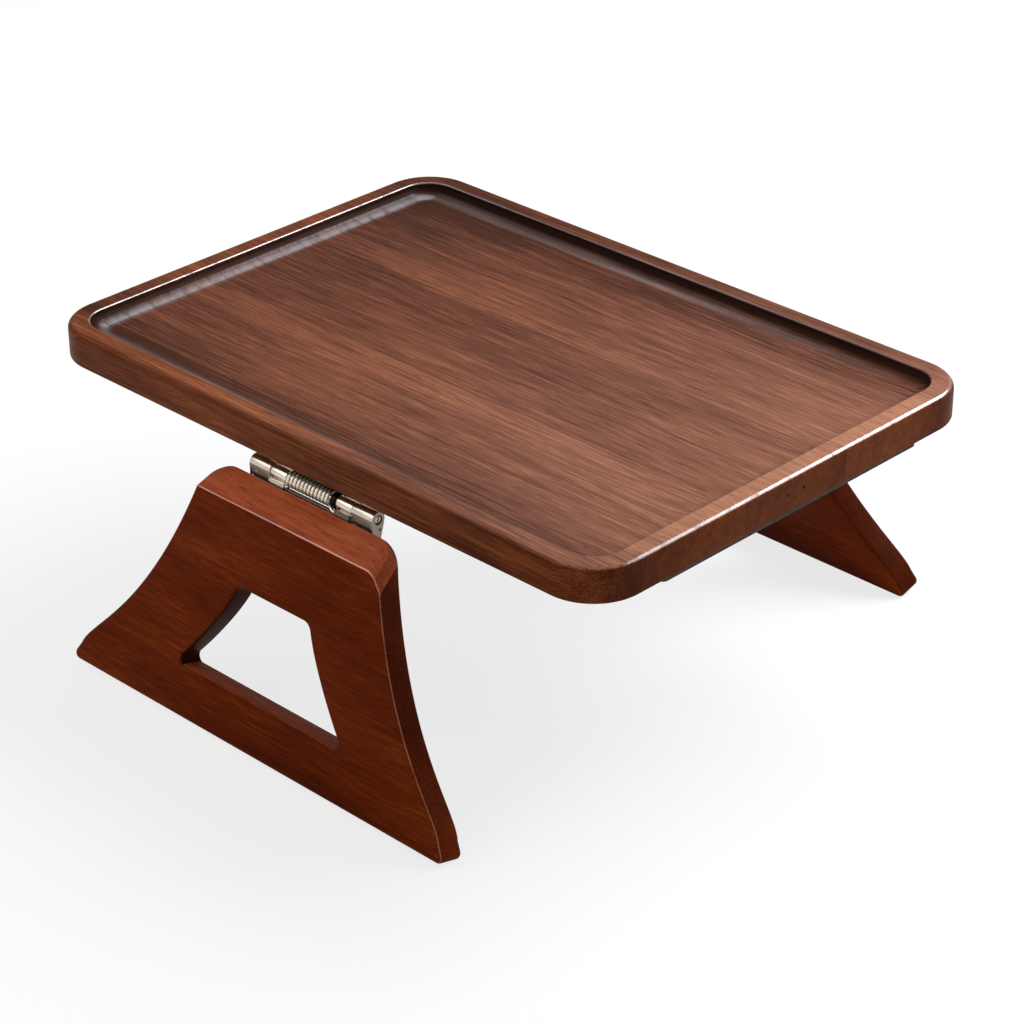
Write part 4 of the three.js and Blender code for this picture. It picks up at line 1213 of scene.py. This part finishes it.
coil, fastener = springTree(), screwTree()
for side in ("front", "back"):
    body, hinge = side + "_leg_body", side + "_hinge_"
    settle(makeLeg(side + "Leg", side, legWood[side]), body, "leg_wood", side + "_leg")
    settle(makeTrayLeaf(side + "TrayLeaf", side, nickel), "tray", "nickel_steel", hinge + "tray_leaf")
    settle(makeLegLeaf(side + "LegLeaf", side, nickel), body, "nickel_steel", hinge + "leg_leaf")
    settle(makePin(side + "Pin", side, bright), body, "bright_steel", hinge + "pin")
    settle(makeCollar(side + "Collar", side, dark), body, "dark_steel", hinge + "collar")
    settle(makeSpring(side + "Spring", side, coil, coilSteel), body, "bright_steel", hinge + "spring")
    inLeg = makeScrews(side + "LegScrews", hingeFrame(side), legScrews, (0.0, 1.0, 0.0), fastener, bright)
    settle(inLeg, body, "bright_steel", *[f"{side}_leg_screw_{i}" for i in (1, 2, 3, 4)])
    upright = hingeFrame(side, False)
    inTray = makeScrews(side + "TrayScrews", upright, trayScrews, (0.0, 0.0, -1.0), fastener, bright)
    settle(inTray, "tray", "bright_steel", *[f"{side}_tray_screw_{i}" for i in (1, 2, 3, 4)])
    print(side, "leg and hinge made")


# Camera, floor and light

view = {
    "place": (0.92186, -0.93484, 0.791907), "azimuth": 44.42, "elevation": 29.08, "roll": -0.33,
    "lens": 112.66, "sensor": 36.0, "sight": 20.0,
}


def makeCamera():
    camera = bpy.data.cameras.new("camera")
    camera.lens, camera.sensor_width, camera.clip_end = view["lens"], view["sensor"], view["sight"]
    holder = addObject("camera", camera)
    a, e, r = (math.radians(view[k]) for k in ("azimuth", "elevation", "roll"))
    back = Vector((math.sin(a) * math.cos(e), -math.cos(a) * math.cos(e), math.sin(e)))
    right = Vector((math.cos(a), math.sin(a), 0.0))
    up = back.cross(right)
    rolled = (right * math.cos(r) + up * math.sin(r), up * math.cos(r) - right * math.sin(r), back)
    holder.matrix_world = Matrix.Translation(view["place"]) @ Matrix(rolled).transposed().to_4x4()
    bpy.context.scene.camera = holder


def ray(start, kind):  # 1 for a ray of this kind
    return start.node("ShaderNodeLightPath", {}, {}, kind)


ground = {"size": 14.0, "tone": 0.88, "whiteShare": 0.78}


def makeFloor():  # seen by the camera, a mirror or a clear surface, the floor is nearly white
    work = bmesh.new()
    bmesh.ops.create_grid(work, x_segments=1, y_segments=1, size=ground["size"] / 2)
    mesh = fromWork(work, "floor")
    material = bpy.data.materials.new("floor")
    material.use_nodes = True
    tree = material.node_tree
    out = tree.nodes["Material Output"].inputs["Surface"]
    tree.nodes.remove(tree.nodes["Principled BSDF"])
    start = Link(tree, out)
    seen = ray(start, "Is Camera Ray").greater(ray(start, "Is Glossy Ray"))
    seen = seen.greater(ray(start, "Is Transmission Ray"))
    matt = start.node("ShaderNodeBsdfDiffuse", {}, {"Color": (ground["tone"],) * 3})
    white = start.node("ShaderNodeEmission", {}, {"Strength": 1.0})
    share = seen * ground["whiteShare"]
    feed(tree, out, start.node("ShaderNodeMixShader", {}, {0: share, 1: matt, 2: white}))
    mesh.materials.append(material)
    addObject("floor", mesh)


lamps = {  # place, width, height, watts, colour
    "behind": ((0.50, 1.10, 1.30), 1.3, 0.9, 42.0, (0.90, 0.95, 1.0)),
    "window": ((-0.45, 1.05, 1.40), 1.3, 0.9, 8.0, (0.80, 0.88, 1.0)),
    "frontLeft": ((-1.20, -1.50, 1.50), 1.6, 1.4, 13.0, (1.0, 0.97, 0.93)),
}
lampAim = Vector((0.0, 0.0, 0.1))
sky = {"light": 0.25, "seen": 1.0, "mirroredShare": 0.6}  # how bright it is as light, seen, and in a mirror


def makeLamps():
    for name, (spot, width, height, watts, colour) in lamps.items():
        lamp = bpy.data.lights.new(name, "AREA")
        lamp.shape, lamp.size, lamp.size_y = "RECTANGLE", width, height
        lamp.energy, lamp.color = watts, colour
        holder = addObject(name, lamp)
        holder.location = spot
        holder.rotation_euler = (Vector(spot) - lampAim).to_track_quat("Z", "Y").to_euler()


def makeSky():
    world = bpy.data.worlds.new("world")
    bpy.context.scene.world = world
    world.use_nodes = True
    background = world.node_tree.nodes["Background"]
    start = Link(world.node_tree, background.outputs[0])
    seen = ray(start, "Is Camera Ray").greater(ray(start, "Is Glossy Ray") * sky["mirroredShare"])
    background.inputs["Color"].default_value = (1.0, 1.0, 1.0, 1.0)
    feed(world.node_tree, background.inputs["Strength"], seen * (sky["seen"] - sky["light"]) + sky["light"])


makeCamera()
makeFloor()
makeLamps()
makeSky()
bpy.context.scene.view_settings.view_transform = "Standard"
print("stage made")

bpy.context.view_layer.update()
